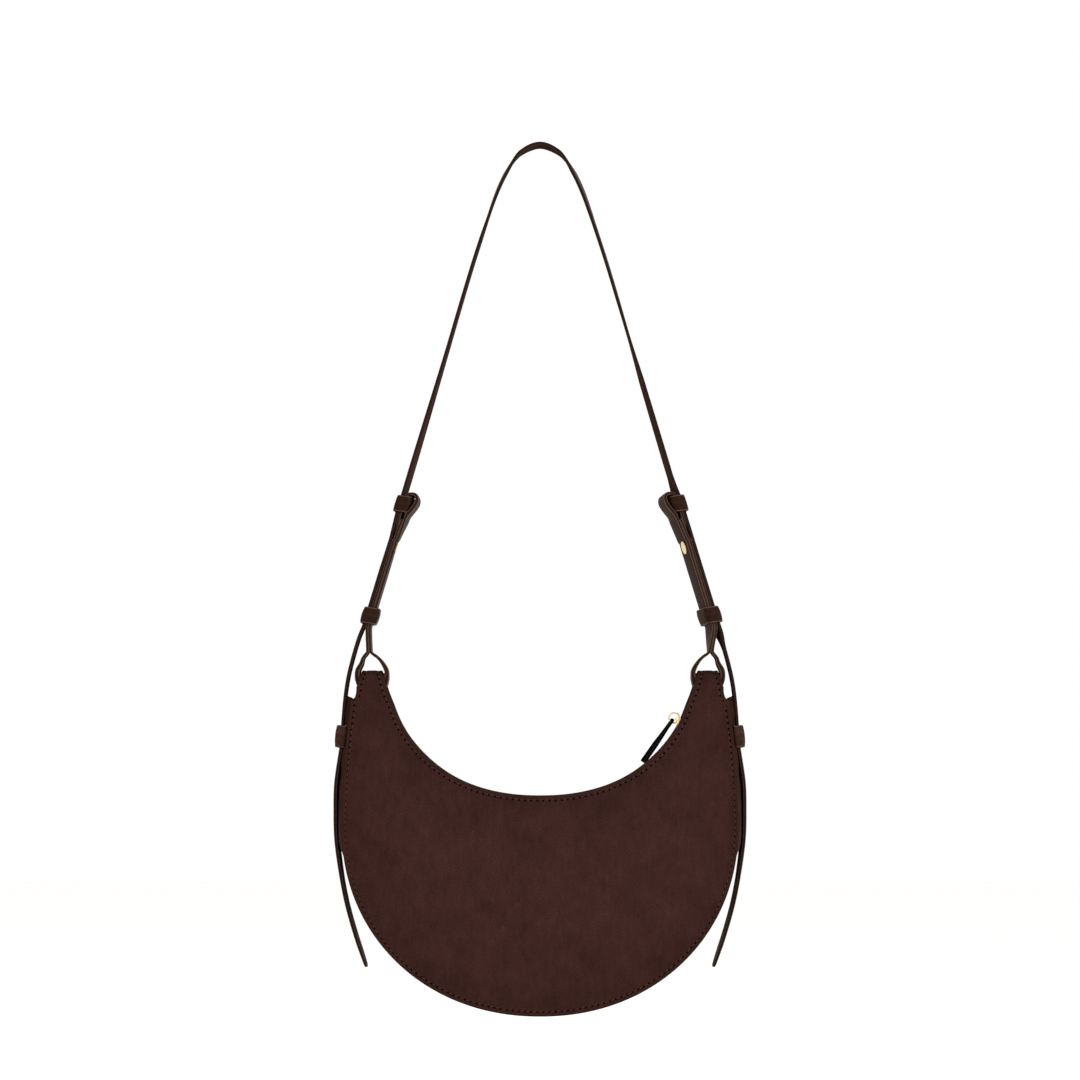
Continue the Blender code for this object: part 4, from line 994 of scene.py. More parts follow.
for word, sign in FACES:
    build_tape(word, sign)
    build_teeth(word, sign)


# %% Stops
def stop_section(low, high):
    """A rounded outline across the zip between two depths."""
    return [((low + high) / 2 + (high - low) / 2 * across, tooth_high * rise)
            for across, rise in (squared(a, 0.45) for a in circle(20))]


stop_turn = stop_length / zip_radius
grip = tape_edge + stop_grip
for name, low, high, start in (("top_stop_front", -grip, -STOP_APART, zip_start),
                               ("top_stop_back", STOP_APART, grip, zip_start),
                               ("bottom_stop", -grip, grip, math.pi - zip_start - stop_turn)):
    section = stop_section(low, high)
    rings = [[zip_point(start + stop_turn * share, zip_middle + rise * size, y) for y, rise in section]
             for share, size in ((0, 0.75), (0.08, 0.95), (0.2, 1), (0.8, 1), (0.92, 0.95), (1, 0.75))]
    dress(skin(f"zip_{name}_metal", rings, [gold]), "bag", "gold_metal", f"zip_{name}")


# %% Slider
out_way = np.array([-math.cos(slider_at), 0, math.sin(slider_at)])
along_way = np.array([math.sin(slider_at), 0, math.cos(slider_at)])
across_way = np.array([0, 1.0, 0])
slider_spot = zip_point(slider_at, 0, 0)


def on_slider(x, y, z):
    """A place by its distance along the zip, across it and out of the mouth."""
    return slider_spot + along_way * x + across_way * y + out_way * z


def soft_outline(points, steps=5):
    """A closed outline with its corners rounded off."""
    points = np.array(points, float)
    line = []
    for before, here, after in zip(np.roll(points, 1, 0), points, np.roll(points, -1, 0)):
        a, b = here + (before - here) * 0.35, here + (after - here) * 0.35
        line += [a * (1 - t) ** 2 + here * 2 * t * (1 - t) + b * t**2 for t in np.linspace(0, 1, steps)]
    return np.array(line)


def plate_rings(outline, low, high, round_off):
    """Rings of a plate whose upper and lower edges are rounded."""
    middle = outline.mean(0)
    size = np.linalg.norm(outline - middle, axis=1, keepdims=True)
    rings = []
    for level, inset in ((low, 1), (low + round_off * 0.3, 0.3), (low + round_off, 0), (high - round_off, 0),
                         (high - round_off * 0.3, 0.3), (high, 1)):
        spots = middle + (outline - middle) * (1 - inset * round_off / size)
        rings.append([on_slider(x, y, level) for x, y in spots])
    return rings


def slider_outline():
    """The slider's plate from above: shoulders at the closed end, a narrower tail."""
    tail, nose = -slider_length / 2, slider_length / 2
    half, narrow = slider_width / 2, slider_end_width / 2
    quarter, twelfth = slider_length / 4, slider_length / 12
    right = [(tail, -narrow), (tail + quarter, -narrow), (nose - quarter, -half), (nose - twelfth, -half),
             (nose, -narrow * 0.7)]
    return soft_outline(right + [(x, -y) for x, y in reversed(right)])


top_level = zip_middle + tooth_high + slider_room
base_level = zip_middle - tooth_high - slider_room
lift = top_level + slider_plate


def bar_rings(path, wide, foot_wide, thick):
    """Rings of a rounded flat bar along a path of (across, out) places, wider at its feet."""
    rings = []
    path = np.array(path)
    low, high = path[:, 1].min(), path[:, 1].max()
    ways = np.gradient(path, axis=0)
    ways /= np.linalg.norm(ways, axis=1, keepdims=True)
    for (y, z), (dy, dz) in zip(path, ways):
        half = (wide + (foot_wide - wide) * ease((high - z) / (high - low)) ** 0.7) / 2
        rings.append([on_slider(across * half, y - dz * off * thick / 2, z + dy * off * thick / 2)
                      for across, off in (squared(a, 0.5) for a in circle(12))])
    return rings


def bridge_path():
    """The arch over the slider, foot to foot."""
    half, high = (bridge_width - bridge_bar) / 2, lift + bridge_height - bridge_bar / 2
    bend, foot = 1.1 * MM, 0.6 * MM
    side = [(half, lift - foot), (half, high - bend)]
    side += [(half - bend * (1 - math.cos(a)), high - bend * (1 - math.sin(a)))
             for a in np.linspace(0.3, math.pi / 2, 5)]
    return [(-y, z) for y, z in side] + side[::-1]


def lip_outline(side):
    """The turned edge along one side of the slider."""
    reach, inside = slider_length / 4, 0.1 * MM
    wide, narrow = slider_width / 2 - inside, slider_end_width / 2 - inside
    spots = [(-reach * 1.5, side * narrow), (reach, side * wide), (reach, side * (wide - slider_lip)),
             (-reach * 1.5, side * (narrow - slider_lip))]
    return soft_outline(spots, 4)


def slider_plates():
    """Each flat part of the slider as (outline, low, high, rounding of its edges)."""
    nose, into, lip_room = slider_length / 2, 0.4 * MM, tape_thick / 2 + slider_room
    middle = nose - 1.3 * MM
    post = [(nose - 2.6 * MM, 0), (middle, -0.9 * MM), (nose - touch_gap, 0), (middle, 0.9 * MM)]
    plates = [(slider_outline(), top_level, lift, 0.35 * MM),
              (slider_outline(), base_level - slider_base, base_level, 0.3 * MM),
              (soft_outline(post, 4), base_level - into, top_level + into, 0.1 * MM)]
    for side in (-1, 1):
        plates.append((lip_outline(side), zip_middle + lip_room, top_level + into, 0.1 * MM))
        plates.append((lip_outline(side), base_level - into, zip_middle - lip_room, 0.1 * MM))
    return plates


parts = [skin("slider_part", plate_rings(*plate), [gold]) for plate in slider_plates()]
parts.insert(2, skin("slider_bridge", bar_rings(bridge_path(), bridge_length, 4.8 * MM, bridge_bar), [gold]))
slider = parts[0]
with bpy.context.temp_override(active_object=slider, selected_editable_objects=parts, selected_objects=parts):
    bpy.ops.object.join()
slider.name = "zip_slider_metal"
dress(slider, "slider", "gold_metal", "zip_slider")
print("slider", len(slider.data.vertices), "points")

# %% Ring and leather pull
bar = on_slider(0, 0, lift + bridge_height - bridge_bar / 2)
bar_radius = math.hypot(bridge_bar, bridge_length) / 2
ring_centre = bar + out_way * (ring_radius - ring_wire - bar_radius - touch_gap)
rings = []
for a in circle(56):
    way = np.array([math.cos(a), 0, math.sin(a)])
    rings.append([ring_centre + way * (ring_radius + ring_wire * math.cos(b))
                  + across_way * ring_wire * math.sin(b) for b in circle(14)])
dress(skin("zip_pull_ring_metal", rings, [gold], closed=True), "pull_ring", "gold_metal", "zip_pull_ring")

TAB_TURN, TAB_TUCK = math.radians(14), 0.9 * MM
tab_down = np.array([-math.sin(tab_lean), 0, -math.cos(tab_lean)])
tab_side = np.array([tab_down[2], 0, -tab_down[0]])
tab_cos, tab_sin = math.cos(TAB_TURN), math.sin(TAB_TURN)


def band_section(thick, half, full=None):
    """A strap's section as (off, across): creased faces and domed painted edges."""
    scale = min(1.0, half / (full or half)) * MM
    paint, crease, dip, step = (size * scale for size in (0.6, 1.4, 0.09, 0.25))
    side = [(half - paint, 0), (half - crease + step, 0), (half - crease, dip), (half - crease - step, 0),
            (half * 0.45, -0.04 * MM)]
    face = [(-across, down) for across, down in side] + [(0, -0.06 * MM)] + side[::-1]
    arc = [(thick / 2 * squared(a, 0.95)[0], half - paint + paint * math.sin(a) ** 0.7)
           for a in np.linspace(0, math.pi, 8)[1:-1]]
    ring = [(thick / 2 - down, across) for across, down in face] + arc
    return ring + [(-off, -across) for off, across in ring]


# Slot 2 on the outer strips of each edge carries the painted highlight along its rounded corners
FACE_STRIPS, EDGE_STRIPS = 10, [2, 2, 1, 1, 1, 2, 2]
PLAIN_STRIPS = ([0] * FACE_STRIPS + EDGE_STRIPS) * 2
LINED_STRIPS = [0] * FACE_STRIPS + EDGE_STRIPS + [3] * FACE_STRIPS + EDGE_STRIPS
BAND_FOLD = 2 * (FACE_STRIPS + 1) + len(EDGE_STRIPS) - 2


def strap_skin(name, rings, finishes, thick=strap_thick, width=strap_width, strips=LINED_STRIPS):
    """A strap's mesh. Its finishes are for its face, the paint, painted highlight on the paint's ridges and
    its back.
    """
    across = lengths_round(band_section(thick, width / 2))
    return skin(name, rings, finishes, strips, across, fold=BAND_FOLD)


rings = []
start = ring_radius - tab_hole_inset
for share in (0.0, 0.006, 0.018, 0.04, 0.1, 0.2, 0.3, 0.45, 0.6, 0.75, 0.9, 0.965, 0.985, 0.997, 1.0):
    open_share = min(max((share - 0.2) / 0.4, 0), 1)
    half = (tab_top_width + (tab_width - tab_top_width) * open_share) / 2
    tuck = TAB_TUCK * ((max(0, 0.04 - share) / 0.04) ** 2 + (max(0, share - 0.965) / 0.035) ** 2)
    section = band_section(tab_thick * (1 - 0.18 * (tuck > TAB_TUCK / 1.8)), half - tuck, full=half)
    middle = ring_centre + tab_down * (start + tab_length * share)
    rings.append([middle + tab_side * (off * tab_cos + across * tab_sin)
                  + across_way * (across * tab_cos - off * tab_sin) for off, across in section])
tab = strap_skin("zip_pull_tab_leather", rings, [tab_leather, tab_paint, tab_paint], tab_thick, tab_width,
                 PLAIN_STRIPS)
eyelet = [[ring_centre + tab_side * off + tab_down * (ring_radius + tab_hole_radius * math.cos(a))
           + across_way * tab_hole_radius * math.sin(a) for a in circle(20)] for off in (-4 * MM, 4 * MM)]
cut(tab, [skin("eyelet_cutter", eyelet, [tab_paint])])
dress(tab, "pull_tab", "pull_leather", "zip_pull_tab")
print("pull", round(tab_length / MM), "mm long")

# %% [markdown]
# ## Straps
#
# Straps are modelled directly: a leather section carried along the line that the solid model follows. The
# section has painted, domed edges and a heat-pressed crease line near each edge. The same routes are used
# as in the solid model, read with steps of one or two millimetres so that every bend is smooth.

# %% Strap lines
stack_way = np.array([math.sin(stack_lean), -math.cos(stack_lean)])
stack_out = np.array([math.cos(stack_lean), math.sin(stack_lean)])
stack_top = np.array([horn_centre + run_end_out, axis_z + run_end_rise]) - stack_way * stack_length
# The long strap turns a little on its way down, so that more of one face shows: (height, degrees)
right_turn = ((-0.40, 0), (-0.227, 0), (-0.2185, -7), (-0.212, -10), (-0.19, -8), (-0.173, -5), (-0.15, -1),
              (-0.10, -5), (-0.05, -6), (-0.028, -9), (-0.017, -10), (-0.011, -7), (0.0, 0))
left_turn = ((-0.40, 0), (-0.12, 0), (-0.06, -1), (-0.03, -6), (-0.017, -8), (-0.011, -6), (0.0, 0))

# The left bundle turns back below its fold: (places along it), (shares of the twist)
left_ease = ((0.018, 0.034, 0.055), (1.0, -0.3, 0.0))


def stack_spot(along, off):
    """A place beside the strap's straight run."""
    return stack_top + stack_way * along + stack_out * off


def place(side, spot, across):
    """Put a place in the strap's plane and a distance across it into space, with the bundle's twist."""
    along, off = (spot - stack_top) @ stack_way, (spot - stack_top) @ stack_out
    twist = right_twist if side > 0 else left_twist * np.interp(along, *left_ease)
    twist *= ease((along + twist_full + twist_start) / twist_start)
    twist *= ease((stack_length + twist_end - along) / twist_end)
    turned = off * math.cos(twist) - across * math.sin(twist)
    flat = stack_spot(along, turned)
    return np.array([side * flat[0], off * math.sin(twist) + across * math.cos(twist), flat[1]])


def smooth_line(points, step):
    """Points about a step apart along a smooth curve through the given ones."""
    points = [np.array(point, float) for point in points]
    lengths = [np.linalg.norm(b - a) for a, b in zip(points, points[1:])]
    slopes = []
    for i in range(len(points)):
        a, b = max(i - 1, 0), min(i + 1, len(points) - 1)
        slopes.append((points[b] - points[a]) / sum(lengths[a:b]))
    line = [points[0]]
    for i, length in enumerate(lengths):
        count = max(1, round(length / step))
        line += [hermite(points[i], points[i + 1], slopes[i] * length, slopes[i + 1] * length, k / count)
                 for k in range(1, count + 1)]
    return line


def by_height(line, table):
    """A value for each point of a line, from a table of (height, value)."""
    return list(np.interp([spot[1] for spot in line], *zip(*table)))


def outward(line, k):
    """The unit way out of a strap at one point of its line."""
    way = line[min(k + 1, len(line) - 1)] - line[max(k - 1, 0)]
    return np.array([-way[1], way[0]]) / np.linalg.norm(way)


def strap_rings(side, line, sizes, turns, pivot=0.0, first_out=None):
    """Rings of a strap's section along its line. Each point has a (thickness, half width) and a turn."""
    rings = []
    for k, (spot, (thick, half), angle) in enumerate(zip(line, sizes, np.radians(turns))):
        out = outward(line, k) if k or first_out is None else first_out
        c, s = math.cos(angle), math.sin(angle)
        rings.append([place(side, spot + out * (off * c - (across + pivot) * s), off * s + across * c)
                      for off, across in band_section(thick, half, full=strap_width / 2)])
    return rings


def side_keeper_frame():
    """Where a side keeper sits: a place on the wall, the way down and the way out."""
    low, high = (side_keeper_above_bottom + k * side_keeper_height / 2 for k in (-1, 1))
    way = np.array([rim_x(low) - rim_x(high), -side_keeper_height])
    way /= np.linalg.norm(way)
    return (np.array([rim_x(side_keeper_above_bottom), bottom_z + side_keeper_above_bottom]), way,
            np.array([-way[1], way[0]]))


keeper_spot, keeper_way, keeper_out = side_keeper_frame()
keeper_end = keeper_spot + keeper_out * (touch_gap + keeper_wall + keeper_room + strap_thick / 2)
knuckle = keeper_end + keeper_way * (side_keeper_height / 2 + strap_thick / 2 + run_end_gap)


# %% The long strap
def long_strap_line():
    """The strap's line on one side, from its top into the side keeper."""
    top = strap_thick / 2
    points = [(x * stack_top[0], top + z * (stack_top[1] - top)) for x, z in strap_route]
    mirrored = [(-x, z) for x, z in reversed(points)]
    line = [spot for spot in smooth_line(mirrored + [(0, top)] + points, 1.5 * MM) if spot[0] > -1e-9]
    line += [stack_spot(stack_length * k / 40, 0) for k in range(1, 40)]
    start = stack_spot(stack_length, 0)
    lower = smooth_line([start + np.array(share) * (keeper_end - start) for share in lower_route], 1.5 * MM)
    return line + lower


def turned(name, side, along, profile, finish, steps=44):
    """A form turned round an axis across the bundle, from (off, radius) pairs."""
    rings = [[place(side, stack_spot(along + radius * math.cos(a), off), radius * math.sin(a))
              for a in circle(steps)] for off, radius in profile]
    return skin(name, rings, [finish], angle=50)


def hole_cutter(side, along, radius, low, high):
    """A round cutter across a strap at a place on its straight run."""
    return turned("hole_cutter", side, along, ((low, radius), (high, radius)), edge_paint, 28)


line = long_strap_line()
sizes = [(strap_thick, strap_width / 2)] * len(line)
right, left = (strap_rings(side, line, sizes, by_height(line, table), first_out=np.array([0.0, 1.0]))
               for side, table in ((1, right_turn), (-1, left_turn)))
strap = strap_skin("shoulder_strap_leather", left[:0:-1] + right,
                   [strap_leather, edge_paint, edge_paint, strap_back])
cut(strap, [hole_cutter(side, stud_at + k * hole_pitch, stud_flange_radius + stud_room, -4 * MM, 4 * MM)
            for side in (-1, 1) for k in range(holes_below_stud + 1)])
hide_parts("shoulder_strap", "left_strap_run", "right_strap_run")
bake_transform(strap)
print("long strap", round(2 * lengths_along(line)[-1]), "mm between its side keepers")

# %% [markdown]
# The strap's two ends come out under the side keepers and hang beside the bag, tapered to a point. Each end
# is its own piece, since it swings out at the keeper's lower lip.


# %% Hanging ends
# Turns of the hanging ends, which show their inner face beside the bag: (height, degrees)
tail_turn = ((-0.54, 2), (-0.47, 2.5), (-0.455, 4), (-0.43, 8), (-0.405, 7), (-0.396, 3), (-0.386, 0),
             (-0.3, 0))


def pointed_half(rest, point):
    """Half width of a pointed end at a distance from its tip."""
    share = min(max(rest / point, 0), 1)
    return (tail_tip_width + (strap_width - tail_tip_width) * math.sqrt(share)) / 2


line = smooth_line([knuckle + np.array([x * tail_drop, -z * tail_drop]) for x, z in tail_route], 2 * MM)
tip, back = line[-1], (line[-2] - line[-1]) / np.linalg.norm(line[-2] - line[-1])
line = [spot for spot in line if spot[1] - tip[1] > tail_point]
line += [tip + back * tail_point * share
         for share in (1.0, 0.8, 0.62, 0.46, 0.32, 0.2, 0.11, 0.05, 0.015, 0.0)]
line = [knuckle - keeper_way * inside * MM for inside in (5.5, 4, 2.5, 1.2)] + line
sizes = [(strap_thick * (1 - 0.25 * (spot[1] - tip[1] < 0.001)), pointed_half(spot[1] - tip[1], tail_point))
         for spot in line]
for word, side in SIDES:
    rings = strap_rings(side, line, sizes, by_height(line, tail_turn), pivot=strap_width / 2)
    # The inner face gets the lighter keeper leather: painted light against the shade beside the wall
    tail = strap_skin(f"{word}_strap_tail_leather", rings, strap_finishes + [keeper_leather])
    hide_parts(f"{word}_strap_tail")
    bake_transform(tail)
print("hanging ends", round(tail_drop / MM), "mm")

# %% [markdown]
# ## Folded loop straps
#
# Each horn hangs in a strap that runs through its tunnel, comes together above it, lies doubled against the
# long strap, folds back over the upper keeper and ends in a skived, pointed tongue. A screw stud pins the
# layers. The whole run is one leather strip, so it is one mesh along one line.

# %% Loop strap line
split = np.array([horn_centre + split_out, axis_z + split_height])
half_pair = np.array([(loop_thick + layer_gap) / 2, 0])
near_layer = -(strap_thick / 2 + touch_gap + loop_thick / 2)


def outer_layer():
    """The line from the sewn end down to where the two layers part."""
    high = near_layer - layer_gap - loop_thick
    low = near_layer - layer_gap - tongue_tip_thick
    return smooth_line([
        stack_spot(seam_at, high), stack_spot((seam_at + tongue_tip_at) / 2, (low + high) / 2),
        stack_spot(tongue_tip_at, low), stack_spot(stud_at - stud_head_radius, near_layer),
        stack_spot(stud_at, near_layer), stack_spot(stud_at + keeper_height, near_layer),
        stack_spot(stack_length - 0.0044, near_layer), stack_spot(stack_length, near_layer),
        split + half_pair], 1.5 * MM)


# One side of the round loop under a horn: (distance from the horn's middle, height over the swing axis)
leg_route = ((0.0069, 0.0156), (0.0092, 0.0112), (0.0096, 0.0074), (0.0092, 0.0041), (0.0087, 0.0019),
             (0.0074, 0.0006), (0.0055, 0.0))

# The legs turn a little, rear edge inwards, and bulge: (height, degrees) and (height, share more thickness)
leg_turn = ((axis_z + 0.002, 0), (axis_z + 0.0045, 1), (axis_z + 0.0085, 1.5), (axis_z + 0.014, 0.5),
            (axis_z + 0.0215, 0))
leg_swell = ((axis_z + 0.001, 0), (axis_z + 0.005, 0.7), (axis_z + 0.012, 0.7), (axis_z + 0.020, 0))
FOLD_TURNS, FOLD_SWELL, SEWN_END = (0, 2.5, 3, 3, 3, 2.5, 2, 0), 0.45, 1.2 * MM


def horn_legs():
    """The line from the split down one leg, through the tunnel and up the other."""
    lines = []
    for way in (1, -1):
        start = split + half_pair * way
        mid = np.array([(start[0] - horn_centre + way * 0.0076) / 2 + way * 0.0004, 0.0194])
        spots = [start + np.array([0, 0.003]), start, np.array([horn_centre + mid[0], axis_z + mid[1]])]
        spots += [np.array([horn_centre + way * x, axis_z + z]) for x, z in leg_route]
        line = smooth_line(spots, 0.9 * MM)
        lines.append([spot for spot in line if spot[1] <= start[1] + 1e-9])
    floor_run = [lines[0][-1] + (lines[1][-1] - lines[0][-1]) * k / 8 for k in range(1, 8)]
    return lines[0][1:] + floor_run + lines[1][:0:-1]


def offset_line(line, distance):
    """A line moved sideways by a distance, to the right of its way."""
    return [spot - outward(line, k) * distance for k, spot in enumerate(line)]


def loop_line():
    """The whole strip's line with its thickness and half width at each point."""
    outer = outer_layer()
    inner = offset_line(outer, loop_thick + layer_gap)[::-1]
    height = seam_at - fold_top_at
    fold = [stack_spot(fold_top_at + height * down, -fold_reach * out) for out, down in fold_route]
    fold = [inner[-1]] + fold + [stack_spot(upper_keeper_at, near_layer), stack_spot(seam_at, near_layer)]
    bow = smooth_line(fold, 0.9 * MM)[1:]
    high = near_layer - layer_gap - loop_thick
    sewn = [stack_spot(seam_at - SEWN_END * share, high - 0.0007 * share) for share in (1.0, 0.5)]
    line = sewn + outer + horn_legs() + inner
    marks = [min(range(len(bow)), key=lambda k: np.linalg.norm(bow[k] - spot)) for spot in fold[1:]]
    turns = by_height(line, leg_turn) + list(np.interp(range(len(bow)), [0] + marks[:7], FOLD_TURNS))
    swells = by_height(line, leg_swell)
    swells += list(np.interp(range(len(bow)), [0, marks[0], marks[2], marks[5]],
                             [0, FOLD_SWELL, FOLD_SWELL, 0]))
    sizes = [(loop_thick * (1 + swell), strap_width / 2) for swell in swells]
    line += bow
    length = tongue_tip_at - seam_at
    for share in (0.12, 0.25, 0.4, 0.55, 0.68, 0.8, 0.88, 0.94, 0.98, 1.0):
        thick = loop_thick + (tongue_tip_thick - loop_thick) * share
        line.append(stack_spot(seam_at + length * share, -(strap_thick / 2 + touch_gap + thick / 2)))
        sizes.append((thick, pointed_half(length * (1 - share), tongue_point)))
        turns.append(0.0)
    return line, sizes, turns


line, sizes, turns = loop_line()
for word, side in SIDES:
    rings = strap_rings(side, line, sizes, turns, pivot=strap_width / 2)
    loop = strap_skin(f"{word}_loop_strap_leather", rings, strap_finishes + [lined_back], loop_thick)
    hole = hole_cutter(side, stud_at, stud_post_radius + stud_room, -8 * MM, -(strap_thick + touch_gap) / 2)
    cut(loop, [hole], folded=True)
    dress(loop, "shoulder_strap", "strap_leather", f"{word}_loop_strap")
print("loop strap", round(lengths_along(line)[-1]), "mm long")

# %% Stitches across the folded end
SEAM_DOWN, SEAM_HALF = 2.2 * MM, 5.8 * MM
off = near_layer - layer_gap - loop_thick * 1.5 - 0.04 * MM
for word, side in SIDES:
    seam, surface, above = ([place(side, stack_spot(seam_at + SEAM_DOWN, off + deeper), across)
                             for across in np.linspace(-SEAM_HALF, SEAM_HALF, 9)]
                            for deeper in (0.1 * MM, 0, -1 * MM))
    outs = [(high - low) / np.linalg.norm(high - low) for high, low in zip(above, surface)]
    sew(f"{word}_fold_stitches", [seam], [outs], "shoulder_strap", "strap_leather", strap_thread,
        2.3 * MM, 1.7 * MM, 0.2 * MM, slant=0)

# %% [markdown]
# ## Keepers, studs and tunnels
#
# A keeper is a strip of the same leather bent into a loop and butted. It swells a little between its two
# painted edges. The studs are turned metal: a slotted flat head, a post through the layers and a flange in
# the long strap's hole. The tunnels are sleeves of wall leather under the folded horns.


# %% Keepers
def rounded_box(low, high, half, radius):
    """A rounded box outline across a bundle, as (off, across) places."""
    corners = ((high - radius, half - radius, 0), (low + radius, half - radius, 90),
               (low + radius, radius - half, 180), (high - radius, radius - half, 270))
    return np.array([(off + radius * math.cos(a), across + radius * math.sin(a))
                     for off, across, start in corners
                     for a in np.radians(np.linspace(start, start + 90, 6))])


def wall_section(height, swell):
    """A keeper wall's own section as (along, share of the wall)."""
    half, edge = height / 2, 0.7 * MM
    outer = [(s * (half - edge), 1 + swell * (1 - s**2) - (0.05 if abs(s) == 0.78 else 0))
             for s in (-1, -0.86, -0.78, -0.70, -0.4, 0, 0.4, 0.70, 0.78, 0.86, 1)]
    top = [(half - edge + edge * math.sin(a) ** 0.8, 0.5 + 0.5 * math.cos(a))
           for a in np.radians((30, 60, 90, 120, 150))]
    inner = [(s * (half - edge), 0) for s in (1, 0, -1)]
    bottom = [(-along, 1 - share) for along, share in top]
    return outer + top + inner + bottom


# Slot 2 at the keeper's edges carries the painted highlight
KEEPER_STRIPS = [0] * 10 + [2] + [1] * 5 + [0] * 2 + [1] * 5 + [2]
SIDE_KEEPER_PUFF, SIDE_KEEPER_TALL, KEEPER_TILT = 1.2 * MM, 14.4 * MM, 0.15

# Each loose keeper: name, middle, layers of loop strap in it, swell, fuller side, its lean, its fuller rear
KEEPERS = (("upper", upper_keeper_at, 1, 0.15, 1.2 * MM, 0.08, 0.32),
           ("lower", lower_keeper_at, 2, 0.35, 0, 0, 0))


def keeper_skin(word, inner, outer, height, swell, finish, at):
    """A keeper between two outlines across its bundle. at puts (along, off, across) into space."""
    rings = [[at(along, *(a + (b - a) * share)) for along, share in wall_section(height, swell)]
             for a, b in zip(inner, outer)]
    return skin(f"{word}_keeper_leather", rings, [finish] + strap_finishes[1:], KEEPER_STRIPS, closed=True)


room, wide = strap_width / 2 + keeper_room, strap_width / 2 + keeper_room + keeper_wall
for word, side in SIDES:
    for kind, middle, layers, swell, puff, lean, rear in KEEPERS:
        def on_bundle(along, off, across):
            """A place on this keeper, tilted, leaning and fuller at its rear."""
            fuller = (lean * along - rear * max(across, 0)) * max(-off, 0) / (strap_width / 2)
            return place(side, stack_spot(middle + along + off * KEEPER_TILT, off + fuller), across)

        low = -(strap_thick / 2 + layers * (touch_gap + loop_thick)) - keeper_room
        high = strap_thick / 2 + keeper_room
        inner = rounded_box(low, high, room, 0.5 * MM)
        outer = rounded_box(low - keeper_wall - puff, high + keeper_wall, wide, 2.6 * MM)
        keeper = keeper_skin(f"{word}_{kind}", inner, outer, keeper_height, swell, strap_leather, on_bundle)
        dress(keeper, f"{word}_{kind}_keeper", "strap_leather", f"{word}_{kind}_keeper")
    high = keeper_wall + keeper_room * 2 + strap_thick
    inner = rounded_box(keeper_wall, high, room, 0.5 * MM)
    outer = rounded_box(touch_gap, high + keeper_wall + SIDE_KEEPER_PUFF, wide, 1.7 * MM)
    keeper = keeper_skin(f"{word}_side", inner, outer, SIDE_KEEPER_TALL, 0.2, keeper_leather,
                         lambda along, off, across: place(
                             side, keeper_spot + keeper_way * along + keeper_out * off, across))
    dress(keeper, "bag", "strap_leather", f"{word}_side_keeper")
print("keepers", 6)

# %% Studs
head = -(strap_thick / 2 + touch_gap + 2 * loop_thick + layer_gap) - stud_head_room
inner_face = (touch_gap - strap_thick) / 2
dome = [(head - stud_head_thick * share, radius) for share, radius in
        ((1, 1.0 * MM), (1, 2.8 * MM), (0.93, 3.5 * MM), (0.78, 4.0 * MM), (0.5, stud_head_radius),
         (0.15, stud_head_radius), (0, stud_head_radius - 0.2 * MM), (0, stud_post_radius))]
outer_face = strap_thick / 2
dome += [(inner_face, stud_post_radius), (inner_face, stud_flange_radius),
         (outer_face - 0.4 * MM, stud_flange_radius), (outer_face, stud_flange_radius - 0.6 * MM),
         (outer_face, 0.8 * MM)]
SLOT_HALF, SLOT_REACH, SLOT_DEEP = 0.25 * MM, 6 * MM, 0.2 * MM
for word, side in SIDES:
    stud = turned(f"{word}_stud_metal", side, stud_at, dome, gold)
    slot = [[place(side, stack_spot(stud_at + along * SLOT_HALF, off), across * SLOT_REACH)
             for along, across in ((-1, -1), (1, -1), (1, 1), (-1, 1))]
            for off in (head - 4 * MM, head - stud_head_thick + SLOT_DEEP)]
    cut(stud, [skin("slot_cutter", slot, [gold])])
    dress(stud, "shoulder_strap", "gold_metal", f"{word}_stud")

# %% Tunnels
TUNNEL_HALF = 7.8 * MM
ends = [(1, 0.75), (1, 0.25)]
half_profile = [(-0.985, 1.0), (-0.5, 1.0), (0, 1.0), (0.5, 1.0), (0.985, 1.0)]
profile = [(-1, 0.25), (-1, 0.75)] + half_profile + ends + [(x, 0.0) for x, _ in half_profile[::-1]]
for word, side in SIDES:
    rings = [[(side * (horn_centre + x * TUNNEL_HALF), (bore_radius + share * tunnel_thick) * math.cos(a),
               axis_z + (bore_radius + share * tunnel_thick) * math.sin(a)) for x, share in profile]
             for a in circle(48)]
    tunnel = skin(f"{word}_horn_tunnel_leather", rings, [wall_leather, rim_paint],
                  strips=[1, 1, 0, 0, 0, 0, 1] * 2, closed=True)
    dress(tunnel, "bag", "gusset_leather", f"{word}_horn_tunnel")

# %% [markdown]
# ## Studio
#
# The bag hangs in front of white, as from a hook above the picture. The world gives even soft light. Where
# the camera or a gloss looks at it, it is pure white, so metal shows a bright studio. A pale floor below
# catches the bag's shadow, and two large soft lamps give the leather its gentle highlights.

# %% World
def looked_at(owner):
    """One for rays from the camera, a gloss or a glass, and nothing for the others."""
    rays = add_node(owner, "LightPath").outputs
    seen = rays["Is Camera Ray"]
    for kind in ("Is Glossy Ray", "Is Transmission Ray"):
        seen = add_node(owner, "Math", {0: seen, 1: rays[kind]}, operation="MAXIMUM").outputs[0]
    return seen


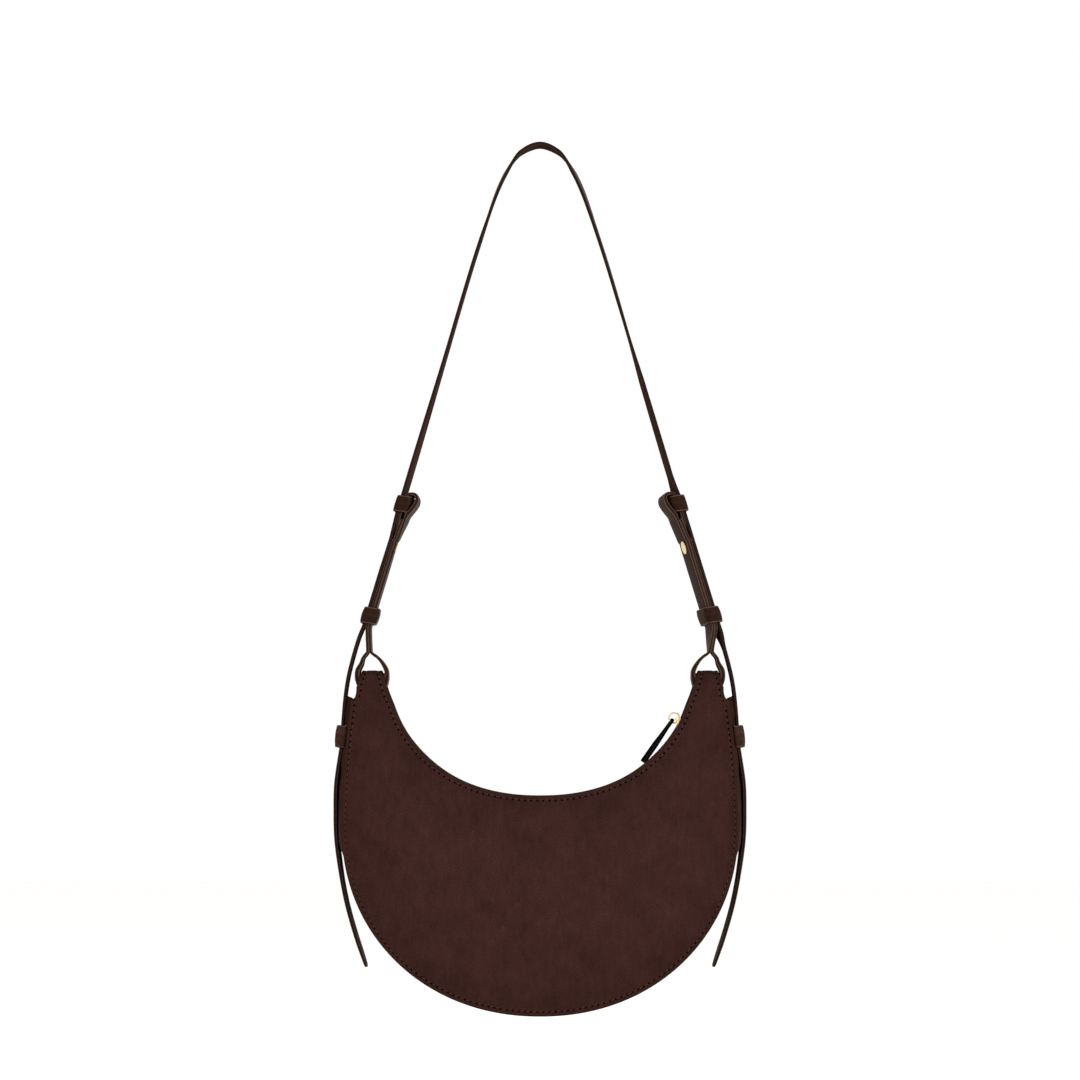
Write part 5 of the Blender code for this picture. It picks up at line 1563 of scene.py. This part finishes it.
WORLD_LIGHT = 0.62
world = bpy.data.worlds.new("studio")
world.use_nodes = True
bpy.context.scene.world = world
world.node_tree.nodes.clear()
light, white = (add_node(world, "Background", {"Color": (1, 1, 1, 1), "Strength": strength}).outputs[0]
                for strength in (WORLD_LIGHT, 1.0))
both = add_node(world, "MixShader", {0: looked_at(world), 1: light, 2: white})
add_node(world, "OutputWorld", {"Surface": both.outputs[0]})

# %% Floor
FLOOR_Z, FLOOR_REACH, FLOOR_GLOW = -0.64, 9.0, 0.45
pale = new_finish("pale_floor", Base_Color=colour("#E9E7E3"), Roughness=0.9, Emission_Color=(1, 1, 1, 1))
wire(pale, Emission_Strength=join_up(pale, looked_at(pale), FLOOR_GLOW, "MULTIPLY"))
square = ((0, 0), (1, 0), (1, 1), (0, 1))
corners = [((2 * x - 1) * FLOOR_REACH, (2 * y - 1) * FLOOR_REACH, FLOOR_Z) for x, y in square]
make_mesh("floor", corners, [(0, 1, 2, 3)], [square], [0], [pale])


# %% Lamps
def soft_lamp(name, spot, size, power):
    """A large square lamp that looks at the bag's middle."""
    data = bpy.data.lights.new(name, "AREA")
    data.size = size
    data.energy = power
    lamp = bpy.data.objects.new(name, data)
    lamp.location = spot
    lamp.rotation_euler = (Vector((0, 0, -0.35)) - Vector(spot)).to_track_quat("-Z", "Y").to_euler()
    bpy.context.scene.collection.objects.link(lamp)


soft_lamp("key_lamp", (-1.3, -2.2, 0.9), 1.4, 19)
soft_lamp("fill_lamp", (1.7, -1.8, 0.1), 1.2, 10)
soft_lamp("side_lamp", (2.1, -0.5, -0.2), 1.2, 20)
soft_lamp("top_lamp", (0.2, 0.6, 1.9), 1.6, 14)

# %% Camera
camera_data = bpy.data.cameras.new("camera")
camera = bpy.data.objects.new("camera", camera_data)
camera.location = (0, -2.34, -0.430)
camera.rotation_euler = (math.pi / 2, 0, 0)
camera_data.sensor_width = 36
camera_data.lens = 121.2
camera_data.shift_y = 0.2546
bpy.context.scene.collection.objects.link(camera)
bpy.context.scene.camera = camera
bpy.context.scene.view_settings.view_transform = "Standard"
